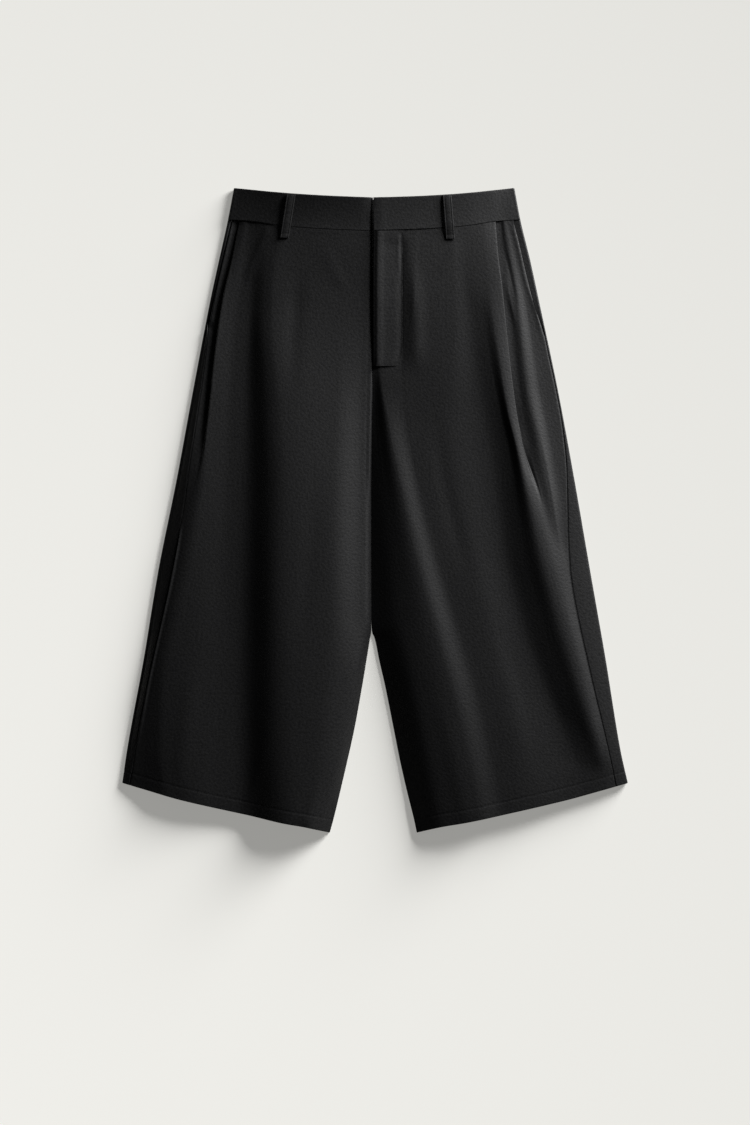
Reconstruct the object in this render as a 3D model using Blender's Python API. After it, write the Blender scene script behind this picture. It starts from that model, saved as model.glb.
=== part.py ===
"""Culottes laid flat: two legs of pleated suiting, waistband, fly, slanted pockets and belt loops.

The garment lies on its back. +X is to the viewer's right, +Y runs towards the waist, +Z is up, and
Z = 0 is the surface it lies on. Each leg is a tube made of a back panel, which lies flat and turns up
round the side, and a front panel, which rises and falls over it in broad folds.

Tables are in millimetres. "down" is measured from the waistband's top corners towards the hems,
"across" from the garment's middle outwards on the right (negative on the left), "height" from the
surface to the outer face of the cloth.
"""
import math
from collections import namedtuple

import bpy

MM = 0.001

# ---- driving dimensions, millimetres
WALL = 1.0              # cloth
HEM_WALL = 2.2          # cloth turned up at the hem
HEM_DEPTH = 15.0
BAND_WALL = 2.0         # interfaced waistband
SEAM_GAP = 0.3          # between pieces that are sewn together
LAYER_GAP = 0.4         # between cloth that lies on cloth
OVERLAY_GAP = 0.35
LENGTH = 741.7          # waist corner to the lowest point of the hem
MIDDLE_DOWN = LENGTH / 2
BAND_SIDE = 6.1         # height of the waistband where it rolls in at the side
SIDE_ROLL = 3.0         # how far the side rolls in before it lies flat
HEEL_RADIUS = 0.2       # inner radius where it turns back
FACING_UNDERLAP = 2.6   # how far the pocket facing runs under the front
FACING_BARE = 0.4       # how much of it lies level before it turns down the side
FLY_WIDTH = 35.0
FLY_END = 206.0
FLY_CORNER = (22.0, 30.0)  # how far it curves in, and over what length
LOOP_WIDTH = 10.0
LOOP_WALL = 1.5

SIDES = {"left": -1.0, "right": 1.0}

Point = namedtuple("Point", "down across height")
Turn = namedtuple("Turn", "down degrees run radius")
Roll = namedtuple("Roll", "down across height")
Spot = namedtuple("Spot", "across height lean rise")

# ---- where the panels end: waist seam, hem, middle and outline
WAIST_SEAM = {"middle": 48.0, "side": 37.5}
HEM = {"middle": 741.0, "side": 684.0}
# How far the hem dips below a straight line, by share of the way from the inner corner to the outline.
Bow = namedtuple("Bow", "share dip")
HEM_BOW = [Bow(0, 0), Bow(0.1, -0.85), Bow(0.24, 0.9), Bow(0.45, 2.1), Bow(0.7, 2.6), Bow(0.87, 1.2),
           Bow(1, 0)]
BAND_EDGE = {"middle": 10.0, "side": 0.5}

# The waistband's face, by share of the way from the centre to the side: its height at the foot, and
# how much higher its top edge stands.
Face = namedtuple("Face", "share foot lean")
BAND_FACE = {
    "left": [Face(0, 15.5, 1.8), Face(0.12, 16, 2.8), Face(0.36, 16, 3.6), Face(0.66, 13.6, 3.3),
             Face(0.86, 9.4, 1.5), Face(0.982, 6.1, 0)],
    "right": [Face(0, 18.3, 1.2), Face(0.12, 18.2, 1.3), Face(0.36, 17, 1.5), Face(0.66, 13.7, 1.3),
              Face(0.86, 9.2, 0.7), Face(0.982, 6.1, 0)],
}

OUTLINE = {
    "left": [Roll(0, -162, 6.0), Roll(37, -169, 3.9), Roll(82, -179, 4.1), Roll(128, -189, 4.4),
             Roll(232, -209, 5.2), Roll(335, -228, 5.4), Roll(439, -249, 5.4), Roll(542, -266, 5.2),
             Roll(646, -285, 5.2), Roll(684, -290.5, 5.2)],
    "right": [Roll(0, 160, 6.0), Roll(37, 167, 3.9), Roll(82, 178, 4.1), Roll(128, 188, 4.4),
              Roll(232, 210, 5.2), Roll(335, 229, 5.4), Roll(439, 247, 5.4), Roll(542, 265, 5.2),
              Roll(646, 282, 5.2), Roll(684, 290.5, 5.2)],
}

# ---- front panels: lines that run down the cloth, from the middle outwards
FRONT_LINES = {
    "left": {
        "edge": [Point(48, -2, 15.6), Point(130, -2.5, 12.4), Point(206, -2.5, 8.2),
                 Point(266, -3.5, 4.6), Point(370, -4.5, 2.8), Point(496, -4.2, 2.8),
                 Point(509, -4.4, 2.8), Point(516, -5.6, 2.8), Point(542, -9.8, 2.8),
                 Point(570, -14.4, 2.8), Point(622, -23.8, 2.8), Point(657, -31.5, 2.8),
                 Point(692, -39.6, 3.6), Point(726, -47.8, 5.5), Point(741, -52, 5.5)],
        "inner slope": [Point(48, -18, 16.2), Point(130, -18, 13), Point(206, -17, 10.8),
                        Point(266, -18, 10.4), Point(370, -19, 11.8), Point(473, -20, 13.2),
                        Point(563, -27, 13), Point(646, -41, 13), Point(741, -64, 13)],
        "crest": [Point(48, -45, 16.6), Point(130, -42, 13.4), Point(206, -36, 13.8),
                  Point(266, -38, 15.2), Point(370, -42, 18), Point(473, -44, 20),
                  Point(563, -53, 20.6), Point(646, -64, 21), Point(741, -76, 20)],
        "step top": [Point(48, -106, 13.8), Point(130, -116, 13.8), Point(163, -116, 15.8),
                     Point(206, -112, 18.4), Point(266, -106, 20.8), Point(370, -99, 22.8),
                     Point(473, -99, 23.2), Point(646, -98, 23.2), Point(741, -97, 22.2)],
        "step high": [Point(48, -120, 12), Point(130, -128, 12.2), Point(163, -128, 14),
                      Point(206, -125, 16.4), Point(266, -120, 18.8), Point(370, -115, 21.2),
                      Point(473, -115, 21.6), Point(646, -114, 21.6), Point(741, -113, 20.4)],
        "step low": [Point(48, -134, 9.8), Point(130, -143, 8.2), Point(163, -145, 8),
                     Point(206, -147, 8.2), Point(266, -148, 8.8), Point(370, -149, 9.4),
                     Point(473, -150, 9.6), Point(563, -151, 9.8), Point(646, -150, 9.8),
                     Point(741, -148, 9.8)],
        "step foot": [Point(48, -144, 8.2), Point(130, -155, 7.8), Point(206, -162, 8.2),
                      Point(266, -165, 8.8), Point(370, -167, 9.4), Point(473, -168, 9.6),
                      Point(646, -168, 9.8), Point(741, -165, 9.8)],
        "fold": [Point(40, -156, 6.4), Point(81, -164, 7.6), Point(129, -175, 9),
                 Point(190, -184, 10.2), Point(255, -191, 11), Point(330, -200, 11.8),
                 Point(410, -211, 12), Point(495, -229, 11.8), Point(563, -245, 11.2),
                 Point(646, -258, 10.2), Point(684, -265, 9.4)],
        "underlay": [Point(40, -160, 3.5), Point(129, -179, 4.9), Point(190, -188, 5.8),
                     Point(255, -195, 6.8), Point(330, -207, 9.6), Point(410, -219, 10.8),
                     Point(495, -238, 10.4), Point(563, -254, 9.8), Point(684, -275, 8)],
        "outer edge": [Point(40, -164, 5.2), Point(105, -179, 5.2), Point(141, -187, 5.4),
                       Point(168, -192, 5.6), Point(204, -196, 6.1), Point(265, -205, 7.2),
                       Point(328, -214.5, 8.2), Point(366, -219, 8.6), Point(443, -233, 8.7),
                       Point(495, -245, 8.5), Point(563, -261, 8), Point(645, -275, 7.4),
                       Point(684, -283, 7)],
    },
    "right": {
        "edge": [Point(48, -2, 17.2), Point(130, -2.5, 13.8), Point(206, -2.5, 9.2),
                 Point(266, -3.5, 4.6), Point(370, -4.5, 2.8), Point(496, -4.2, 2.8),
                 Point(509, -3.6, 2.8), Point(516, -0.6, 2.8), Point(542, 4.8, 2.8),
                 Point(570, 11.2, 2.8), Point(622, 21.6, 2.8), Point(657, 28.5, 2.8),
                 Point(692, 36.4, 3.6), Point(726, 44.8, 5.5), Point(741, 48, 5.5)],
        "inner slope": [Point(48, 2.4, 17.2), Point(130, 2, 14), Point(206, 0.4, 9.6),
                        Point(266, 2, 6.4), Point(301, 5, 7.4), Point(349, 11, 9.6),
                        Point(424, 20, 12.6), Point(511, 32, 15), Point(586, 49, 16.4),
                        Point(646, 57, 16.8), Point(741, 70, 16)],
        "crest": [Point(48, 8, 17.2), Point(130, 8, 14.1), Point(206, 6, 10.6), Point(236, 9, 10.6),
                  Point(266, 14, 11.6), Point(301, 20, 13.2), Point(349, 30, 15.4),
                  Point(424, 46, 17.9), Point(511, 69, 19.6), Point(586, 89, 20.2),
                  Point(646, 103, 20.2), Point(741, 121, 19)],
        "lee": [Point(48, 50, 17), Point(130, 46, 13.8), Point(206, 32, 11), Point(266, 36, 10.2),
                Point(301, 42, 10.9), Point(349, 52, 12), Point(424, 71, 13.4), Point(511, 97, 14.4),
                Point(586, 119, 15.2), Point(646, 133, 15.4), Point(741, 151, 15.6)],
        "hump": [Point(48, 92, 15.2), Point(130, 92, 13), Point(206, 87, 12), Point(266, 84, 11.4),
                 Point(349, 93, 12.4), Point(424, 108, 13.2), Point(511, 130, 14),
                 Point(586, 150, 14.2), Point(646, 164, 14), Point(741, 176, 14)],
        "pleat foot": [Point(48, 104, 14), Point(97, 104, 12.4), Point(150, 108, 11.4),
                       Point(195, 112, 10.6), Point(257, 121, 9.8), Point(297, 129, 9.6),
                       Point(359, 139, 9.6), Point(421, 147, 9.9), Point(478, 161, 10.1),
                       Point(516, 171, 10.1), Point(578, 193, 10), Point(625, 211, 9.9),
                       Point(662, 224, 9.9), Point(741, 232, 10)],
        "pleat slope": [Point(45, 117, 12.4), Point(97, 116, 12.2), Point(150, 125, 12.4),
                        Point(195, 132, 12.6), Point(257, 144.5, 12.8), Point(297, 154, 13.3),
                        Point(359, 163, 14.2), Point(421, 172.5, 14.8), Point(478, 188.5, 14.8),
                        Point(516, 199, 14.6), Point(578, 222, 13.6), Point(625, 240, 12),
                        Point(662, 250, 10.6), Point(741, 256, 10)],
        "pleat crest": [Point(45, 128, 10), Point(97, 131, 11.4), Point(150, 136, 13.8),
                        Point(195, 142.5, 15.2), Point(257, 152.5, 16.8), Point(297, 162, 17.8),
                        Point(359, 175, 19.2), Point(421, 188.5, 20.2), Point(478, 205, 20),
                        Point(516, 216, 19.2), Point(578, 237, 16.8), Point(625, 250, 14),
                        Point(662, 259, 11.4), Point(700, 264, 9.8)],
        "fold": [Point(42, 138.5, 8.4), Point(75, 141, 9.6), Point(116, 146, 11.2),
                 Point(194, 154, 13.2), Point(256, 162, 14.6), Point(286, 167.5, 15.2),
                 Point(316, 173.5, 15.7), Point(348, 182, 16.4), Point(384, 192.5, 16.8),
                 Point(440, 205.5, 16.2), Point(478, 214.5, 15.6), Point(516, 225.5, 14.8),
                 Point(578, 243.5, 13), Point(646, 258.5, 10.6), Point(690, 264.5, 8.9)],
        "underlay": [Point(42, 144, 4.6), Point(75, 147, 5.9), Point(116, 152, 7.6),
                     Point(194, 160, 9.2), Point(256, 168, 10.8), Point(286, 173.5, 11.6),
                     Point(316, 180, 12.4), Point(348, 189, 13.4), Point(384, 199, 14),
                     Point(440, 211.5, 13.6), Point(478, 220.5, 13), Point(516, 231.5, 12.2),
                     Point(578, 249, 10.8), Point(646, 264, 9), Point(690, 270, 7.9)],
        "second crest": [Point(42, 148, 5.6), Point(92, 156, 7.4), Point(129, 161.5, 9),
                         Point(172, 166.5, 10.1), Point(236, 174, 11.6), Point(279, 183, 12.6),
                         Point(322, 191, 13.2), Point(366, 200.5, 13.6), Point(406, 207.5, 13.6),
                         Point(441, 214.5, 12.8), Point(478, 223.5, 12.2), Point(516, 234, 11.4),
                         Point(578, 251.5, 10.2), Point(646, 267, 8.6), Point(690, 272.5, 7.7)],
        "second foot": [Point(42, 153, 5.4), Point(92, 165, 6), Point(129, 173, 6.3),
                        Point(172, 180, 6.6), Point(236, 190, 7.4), Point(279, 198.5, 8),
                        Point(322, 206, 8.6), Point(366, 212, 9.4), Point(406, 216, 10.4),
                        Point(441, 219.5, 11), Point(478, 226.5, 10.8), Point(516, 237, 10.4),
                        Point(578, 253.5, 9.6), Point(646, 269.5, 8.2), Point(690, 274.8, 7.4)],
        "outer edge": [Point(42, 160, 5), Point(65, 166, 5.1), Point(104, 175, 5.3),
                       Point(134, 183, 5.7), Point(157, 190.8, 6.2), Point(167, 193.6, 6),
                       Point(183, 197.4, 5.2), Point(231, 208, 5.2), Point(278, 216, 5.8),
                       Point(330, 220.5, 6.9), Point(404, 221.5, 9.2), Point(441, 223.5, 10.2),
                       Point(458, 226, 10.2), Point(495, 234, 9.8), Point(540, 245.5, 9.3),
                       Point(585, 258, 8.8), Point(630, 268.5, 8.1), Point(664, 274.5, 7.5),
                       Point(687, 277.5, 7.2)],
    },
}

# How far the pleat's fold turns under, and how far it runs back beneath itself.
FOLD_TURNS = {
    "left": [Turn(40, 180, 7, 1.2), Turn(180, 180, 5, 1.2), Turn(235, 165, 3, 1.2),
             Turn(275, 90, 0.6, 1.2), Turn(320, 38, 2, 2.6), Turn(370, 14, 3, 4), Turn(684, 5, 2, 5)],
    "right": [Turn(40, 180, 8, 1.2), Turn(180, 180, 6, 1.2), Turn(235, 160, 3.2, 1.2),
              Turn(292, 90, 1, 1.4), Turn(345, 42, 2, 2.6), Turn(400, 16, 2.5, 4), Turn(690, 5, 2, 5)],
}

# Where the rolled side is divided when the seam lies on it: shares of the way from underneath to the seam.
ROLL_PARTS = (0, 0.13, 0.26, 0.39, 0.52, 0.64, 0.73, 0.8, 0.87)

# Columns of faces between one line and the next, and rows down the leg (share of its length).
LINE_STEPS = {"edge": 3, "inner slope": 2, "crest": 2, "lee": 2, "hump": 1, "pleat foot": 2,
              "pleat slope": 2, "step top": 2, "step high": 3, "step low": 1, "step foot": 3,
              "pleat crest": 1, "underlay": 2, "second crest": 1, "second foot": 2}
FACING_END = {"left": 0.18, "right": 0.2}
ROWS = [0, 0.03, 0.065, 0.1, 0.14, 0.18, 0.183, 0.2, 0.203, 0.24, 0.27, 0.3, 0.33, 0.36, 0.39, 0.42,
        0.46, 0.5, 0.545, 0.59, 0.63, 0.665, 0.677, 0.7, 0.73, 0.77, 0.81, 0.85, 0.89, 0.93, 0.955]

# How far in from the outline the back's edge lies beside the pocket and just below it. Lower down the
# side seam follows the front's outer edge.
Inset = namedtuple("Inset", "down inset")
UPPER_SEAM = {
    "left": [Inset(37, 0), Inset(100, 0.5), Inset(140, 1.3), Inset(154, 1.8), Inset(168, 4.4),
             Inset(185, 6.0)],
    "right": [Inset(37, 0), Inset(100, 0.3), Inset(140, 0.8), Inset(167, 1.8), Inset(205, 2.2)],
}


# ---- curves through the tables
def smoothCurve(knots, x):
    """Monotone cubic through (x, y) knots: no swing past a knot, flat at each high or low one."""
    if x <= knots[0][0]:
        return knots[0][1]
    if x >= knots[-1][0]:
        return knots[-1][1]
    steps = [(b[1] - a[1]) / (b[0] - a[0]) for a, b in zip(knots, knots[1:])]
    slopes = [steps[0]]
    for before, after in zip(steps, steps[1:]):
        slopes.append(0.0 if before * after <= 0 else 2 * before * after / (before + after))
    slopes.append(steps[-1])
    i = next(k for k in range(len(steps)) if x <= knots[k + 1][0])
    (x0, y0), (x1, y1) = knots[i], knots[i + 1]
    h = x1 - x0
    t = (x - x0) / h
    return (y0 * (1 + 2 * t) * (1 - t) ** 2 + slopes[i] * h * t * (1 - t) ** 2
            + y1 * t * t * (3 - 2 * t) - slopes[i + 1] * h * t * t * (1 - t))


def column(rows, down, name):
    return smoothCurve([(row.down, getattr(row, name)) for row in rows], down)


def shareColumn(rows, share, name):
    return smoothCurve([(row.share, getattr(row, name)) for row in rows], share)


def mix(a, b, share):
    return a + (b - a) * share


# ---- rows across a leg: nearly straight, from the middle to the outline
class Row:
    """One row of a leg. "out" is the distance outwards: across on the right, minus across on the left."""

    def __init__(self, side, share, first=WAIST_SEAM, last=HEM):
        self.side = side
        self.sign = SIDES[side]
        self.share = share
        self.middleDown = mix(first["middle"], last["middle"], share)
        self.sideDown = mix(first["side"], last["side"], share)
        self.dip = share if last is HEM else 0.0
        self.middleOut = self.sign * column(FRONT_LINES[side]["edge"], self.middleDown, "across")
        self.outlineOut = self.sign * column(OUTLINE[side], self.sideDown, "across")
        self.rollHeight = column(OUTLINE[side], self.sideDown, "height")

    def downAt(self, out):
        part = (out - self.middleOut) / (self.outlineOut - self.middleOut)
        return mix(self.middleDown, self.sideDown, part) + self.dip * smoothCurve(HEM_BOW, part)

    def crossing(self, line, name="height"):
        """Where a line that runs down the cloth crosses this row: distance out, and one column."""
        out = self.outlineOut / 2
        for _ in range(8):
            out = self.sign * column(line, self.downAt(out), "across")
        return out, column(line, self.downAt(out), name)

    def place(self, out, height):
        return (self.sign * out * MM, (MIDDLE_DOWN - self.downAt(out)) * MM, height * MM)


def wallAt(share):
    hemLength = HEM_DEPTH / (HEM["middle"] - WAIST_SEAM["middle"])
    return HEM_WALL if share > 1 - hemLength else WALL


def sideSeam(row):
    """Distance out and height of the back's upper edge on this row, and its inset from the outline."""
    seamOut, height = row.crossing(FRONT_LINES[row.side]["outer edge"])
    upper = UPPER_SEAM[row.side]
    if row.sideDown < upper[-1].down:
        seamOut = row.outlineOut - column(upper, row.sideDown, "inset")
    return seamOut, height, row.outlineOut - seamOut


def rollSpot(row, angle, height=None):
    """A spot on the rolled side at an angle: -90 underneath, 0 at the outline, 90 on top."""
    half = (height or row.rollHeight) / 2
    lean, rise = math.cos(math.radians(angle)), math.sin(math.radians(angle))
    return Spot(row.outlineOut - SIDE_ROLL + SIDE_ROLL * lean, half + half * rise, lean, rise)


def seamAngle(row):
    _, _, inset = sideSeam(row)
    return math.degrees(math.acos((SIDE_ROLL - min(inset, SIDE_ROLL)) / SIDE_ROLL))


def slide(spot, distance):
    """The spot moved along the cloth, outwards when the distance is positive."""
    return Spot(spot.across + distance * spot.rise, spot.height - distance * spot.lean, spot.lean, spot.rise)


def heightSpots(knots, counts):
    """Spots along a section where height is a function of the distance out."""
    def height(out):
        return smoothCurve(knots, out)

    spots = []
    for (start, _), (end, _), count in zip(knots, knots[1:], counts):
        for i in range(count):
            out = mix(start, end, i / count)
            step = 0.2
            slope = (height(out + step) - height(out - step)) / (2 * step)
            if out - step < knots[0][0]:
                slope = (height(out + step) - height(out)) / step
            length = math.hypot(1, slope)
            spots.append(Spot(out, height(out), -slope / length, 1 / length))
    return spots


def upright(spot):
    """The same spot with its wall straight down, for an edge that meets another piece."""
    return Spot(spot.across, spot.height, 0.0, 1 / spot.rise)


# ---- front panel
def foldSpots(row, slope):
    """The pleat's fold: round the nose, back underneath, and round the heel to face up again."""
    line = FRONT_LINES[row.side]["fold"]
    out, top = row.crossing(line)
    down = row.downAt(out)
    turns = FOLD_TURNS[row.side]
    turn = math.radians(column(turns, down, "degrees"))
    run = column(turns, down, "run")
    start = math.atan(slope)
    spots = []
    nose = column(turns, down, "radius")
    centreOut, centreHeight = out - nose * math.sin(min(turn, math.pi / 2)), top - nose
    for i in range(4):
        heading = start - turn * i / 3
        lean, rise = -math.sin(heading), math.cos(heading)
        spots.append(Spot(centreOut + nose * lean, centreHeight + nose * rise, lean, rise))
    heading = start - turn
    lean, rise = -math.sin(heading), math.cos(heading)
    heelOut = spots[-1].across + run * math.cos(heading) + HEEL_RADIUS * lean
    heelHeight = spots[-1].height + run * math.sin(heading) + HEEL_RADIUS * rise
    for i in range(3):
        heading = (start - turn) * (1 - i / 2)
        lean, rise = -math.sin(heading), math.cos(heading)
        spots.append(Spot(heelOut - HEEL_RADIUS * lean, heelHeight - HEEL_RADIUS * rise, lean, rise))
    return spots


def frontKnots(row):
    """Knots of the section before the fold and after it, with the step counts between them."""
    before, after, counts = [], [], {"before": [], "after": []}
    part = "before"
    for name, line in FRONT_LINES[row.side].items():
        if name == "fold":
            part = "after"
            continue
        out, height = row.crossing(line)
        (before if part == "before" else after).append((out, height))
        if name in LINE_STEPS:
            counts[part].append(LINE_STEPS[name])
    return before, after, counts


def frontSection(row):
    before, after, counts = frontKnots(row)
    before[0] = (before[0][0] + SEAM_GAP / 2, before[0][1])
    foldOut, foldTop = row.crossing(FRONT_LINES[row.side]["fold"])
    slope = (foldTop - before[-1][1]) / (foldOut - before[-1][0])
    fold = foldSpots(row, slope)
    before.append((fold[0].across, fold[0].height))
    spots = heightSpots(before, counts["before"])
    spots[0] = upright(spots[0])
    spots += fold
    if row.share > FACING_END[row.side]:
        seamOut, seamHeight, inset = sideSeam(row)
        pastRoll = inset > SIDE_ROLL + SEAM_GAP
        edge = Spot(seamOut, seamHeight, 0.0, 1.0) if pastRoll else rollSpot(row, seamAngle(row))
        edge = slide(edge, -SEAM_GAP / 2)
    else:
        edge = Spot(after[-1][0], after[-1][1], 0.0, 1.0)
    after[-1] = (edge.across, edge.height)
    after.insert(0, (fold[-1].across, fold[-1].height))
    spots += heightSpots(after, [1] + counts["after"])[1:]
    spots.append(edge)
    return spots


# ---- back panel, facing and waistband
def backSection(row):
    """From the middle, flat along the surface, up round the side and over to the side seam."""
    edge = Spot(row.middleOut + SEAM_GAP / 2, 0.0, 0.0, -1.0)
    flatEnd = row.outlineOut - SIDE_ROLL
    spots = [Spot(mix(edge.across, flatEnd, i / 4), 0.0, 0.0, -1.0) for i in range(4)]
    last = seamAngle(row)
    corner = rollSpot(row, last)
    seamOut, seamHeight, inset = sideSeam(row)
    if inset > SIDE_ROLL + SEAM_GAP:
        spots += [rollSpot(row, mix(-90, last, i / 6)) for i in range(6)]
        run = corner.across - seamOut - SEAM_GAP / 2
        for i in range(4):
            part = i / 3
            height = mix(corner.height, seamHeight, 1 - (1 - part) ** 2)
            slope = (seamHeight - corner.height) * 2 * (1 - part) / run
            spots.append(Spot(corner.across - part * run, height, 0.0, math.hypot(1, slope) if i else 1.0))
    else:
        spots += [rollSpot(row, mix(-90, last, part)) for part in ROLL_PARTS]
        spots.append(slide(corner, SEAM_GAP / 2))
    return spots


def facingSection(row):
    """Under the pocket mouth, then outwards to the back's edge on the rolled side."""
    mouthOut, mouthHeight = row.crossing(FRONT_LINES[row.side]["outer edge"])
    _, after, _ = frontKnots(row)
    drop = WALL + LAYER_GAP
    under = smoothCurve(after, mouthOut - FACING_UNDERLAP)
    knots = [(mouthOut - FACING_UNDERLAP, max(min(under, mouthHeight) - drop - 0.2, 2 * WALL + LAYER_GAP)),
             (mouthOut, mouthHeight - drop)]
    spots = heightSpots(knots, [2])
    spots[0] = upright(spots[0])
    flatEnd = row.outlineOut - SIDE_ROLL
    bareOut = max(mouthOut + FACING_BARE, flatEnd)
    first, last = math.degrees(math.acos((bareOut - flatEnd) / SIDE_ROLL)), seamAngle(row)
    spots.append(Spot(mouthOut, mouthHeight - drop, 0.0, 1.0))
    if bareOut > flatEnd:
        spots.append(Spot(bareOut, mouthHeight - drop, 0.0, 1.0))
    else:
        spots.append(rollSpot(row, first))
    spots += [rollSpot(row, mix(first, last, part)) for part in (1 / 3, 2 / 3)]
    spots.append(slide(rollSpot(row, last), -SEAM_GAP / 2))
    return spots


# ---- solids
def makeMaterial(name, color, roughness):
    material = bpy.data.materials.new(name)
    material.use_nodes = True
    shader = material.node_tree.nodes["Principled BSDF"]
    shader.inputs["Base Color"].default_value = (*color, 1)
    shader.inputs["Roughness"].default_value = roughness
    shader.inputs["Metallic"].default_value = 0.0
    return material


def makeWall(name, outer, inner, material, flip=False):
    """A closed wall from two grids of points, rows by columns: its outer face and its inner face."""
    rows, columns = len(outer), len(outer[0])
    points = [p for grid in (outer, inner) for line in grid for p in line]
    half = rows * columns

    def at(row, column, face):
        return face * half + row * columns + column

    faces = []
    for r in range(rows - 1):
        for c in range(columns - 1):
            faces.append([at(r, c, 0), at(r + 1, c, 0), at(r + 1, c + 1, 0), at(r, c + 1, 0)])
            faces.append([at(r, c, 1), at(r, c + 1, 1), at(r + 1, c + 1, 1), at(r + 1, c, 1)])
    for r in range(rows - 1):
        faces.append([at(r, 0, 0), at(r, 0, 1), at(r + 1, 0, 1), at(r + 1, 0, 0)])
        end = columns - 1
        faces.append([at(r, end, 0), at(r + 1, end, 0), at(r + 1, end, 1), at(r, end, 1)])
    for c in range(columns - 1):
        faces.append([at(0, c, 0), at(0, c + 1, 0), at(0, c + 1, 1), at(0, c, 1)])
        end = rows - 1
        faces.append([at(end, c, 0), at(end, c, 1), at(end, c + 1, 1), at(end, c + 1, 0)])
    if flip:
        faces = [face[::-1] for face in faces]
    mesh = bpy.data.meshes.new(name)
    mesh.from_pydata(points, [], faces)
    mesh.shade_smooth()
    mesh.set_sharp_from_angle(angle=math.radians(40))
    mesh.materials.append(material)
    made = bpy.data.objects.new(name, mesh)
    bpy.context.collection.objects.link(made)
    return made


def sweptWall(name, rows, section, wall, material, faceDown=False):
    """A wall made from the same section on every row of a leg."""
    outer, inner = [], []
    for row in rows:
        thick = wall(row.share) if callable(wall) else wall
        spots = section(row)
        outer.append([row.place(s.across, s.height) for s in spots])
        line = []
        for s in spots:
            x, y, _ = row.place(s.across, s.height)
            line.append((x - row.sign * s.lean * thick * MM, y, (s.height - s.rise * thick) * MM))
        inner.append(line)
    return makeWall(name, outer, inner, material, flip=(rows[0].sign < 0) != faceDown)


def legRows(side, last=None):
    hemStart = 1 - HEM_DEPTH / (HEM["middle"] - WAIST_SEAM["middle"])
    shares = [s for s in ROWS if last is None or s < last]
    shares += [last] if last else [hemStart, hemStart + 0.003, 1.0]
    return [Row(side, share) for share in shares]


def makeFacing(side, material):
    return sweptWall("pocket_facing_" + side, legRows(side, FACING_END[side]), facingSection, WALL, material)


def bandRow(side, share):
    last = {key: value - SEAM_GAP for key, value in WAIST_SEAM.items()}
    return Row(side, share, BAND_EDGE, last)


def bandHeight(row, out):
    """Height of the waistband's face at a distance out, lower at its foot than at its top edge."""
    faces = BAND_FACE[row.side]
    share = out / row.outlineOut
    return shareColumn(faces, share, "foot") + (1 - row.share) * shareColumn(faces, share, "lean")


def bandFrontSection(row):
    """From the centre edge over the front to the side; the right half stands above the left at the centre."""
    flatEnd = row.outlineOut - SIDE_ROLL
    outs = [row.middleOut + SEAM_GAP / 2]
    outs += [face.share * row.outlineOut for face in BAND_FACE[row.side][1:-1]]
    knots = [(out, bandHeight(row, out)) for out in outs] + [(flatEnd, BAND_SIDE)]
    spots = heightSpots(knots, [1, 2, 2, 2, 2])
    spots[0] = upright(spots[0])
    spots += [rollSpot(row, angle, BAND_SIDE) for angle in (90, 60, 30)]
    spots.append(slide(rollSpot(row, 0, BAND_SIDE), -SEAM_GAP / 2))
    return spots


def bandBackSection(row):
    flatEnd = row.outlineOut - SIDE_ROLL
    spots = [Spot(mix(row.middleOut, flatEnd, i / 3), 0.0, 0.0, -1.0) for i in range(3)]
    spots += [rollSpot(row, angle, BAND_SIDE) for angle in (-90, -60, -30)]
    spots.append(slide(rollSpot(row, 0, BAND_SIDE), SEAM_GAP / 2))
    return spots


def makeBandBack(material):
    """One piece from side to side, flat on the surface, its ends turned up to meet the front."""
    outer, inner = [], []
    for share in (0, 0.5, 1):
        left, right = bandRow("left", share), bandRow("right", share)
        lines = {"outer": [], "inner": []}
        for row in (left, right):
            spots = bandBackSection(row)
            if row is left:
                spots = spots[:0:-1]
            for s in spots:
                x, y, _ = row.place(s.across, s.height)
                lines["outer"].append((x, y, s.height * MM))
                lines["inner"].append((x - row.sign * s.lean * BAND_WALL * MM, y,
                                       (s.height - s.rise * BAND_WALL) * MM))
        outer.append(lines["outer"])
        inner.append(lines["inner"])
    return makeWall("waistband_back", outer, inner, material, flip=True)


# ---- what lies on the panels
def surfaceHeight(side, out, down):
    """Height of a front panel's face at a place, by finding the row that passes through it."""
    share = 0.5
    for _ in range(12):
        row = Row(side, share)
        share = min(max(share + (down - row.downAt(out)) / (HEM["middle"] - WAIST_SEAM["middle"]), 0), 1)
    before, after, _ = frontKnots(Row(side, share))
    return smoothCurve(before, out)


def makeFly(material):
    """A layer sewn on the right front from the centre edge, its outer edge curving in at the foot."""
    outer, inner = [], []
    cornerWidth, cornerLength = FLY_CORNER
    straightEnd = FLY_END - cornerLength
    starts = WAIST_SEAM["middle"] + SEAM_GAP
    waistSlope = (WAIST_SEAM["side"] - WAIST_SEAM["middle"]) / column(OUTLINE["right"], starts, "across")
    downs = [mix(starts, straightEnd, i / 6) for i in range(7)]
    downs += [straightEnd + cornerLength * math.sin(math.pi / 2 * i / 5) for i in range(1, 6)]
    for down in downs:
        curve = max(down - straightEnd, 0) / cornerLength
        width = FLY_WIDTH - cornerWidth * (1 - math.sqrt(max(1 - curve * curve, 0)))
        edge = column(FRONT_LINES["right"]["edge"], down, "across") + SEAM_GAP
        lines = [], []
        for i in range(6):
            out = edge + width * i / 5
            slant = (out - edge) * waistSlope * (1 - curve)
            height = surfaceHeight("right", out, down + slant) + OVERLAY_GAP
            y = (MIDDLE_DOWN - down - slant) * MM
            lines[0].append((out * MM, y, (height + WALL) * MM))
            lines[1].append((out * MM, y, height * MM))
        outer.append(lines[0])
        inner.append(lines[1])
    return makeWall("fly", outer, inner, material)


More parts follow.
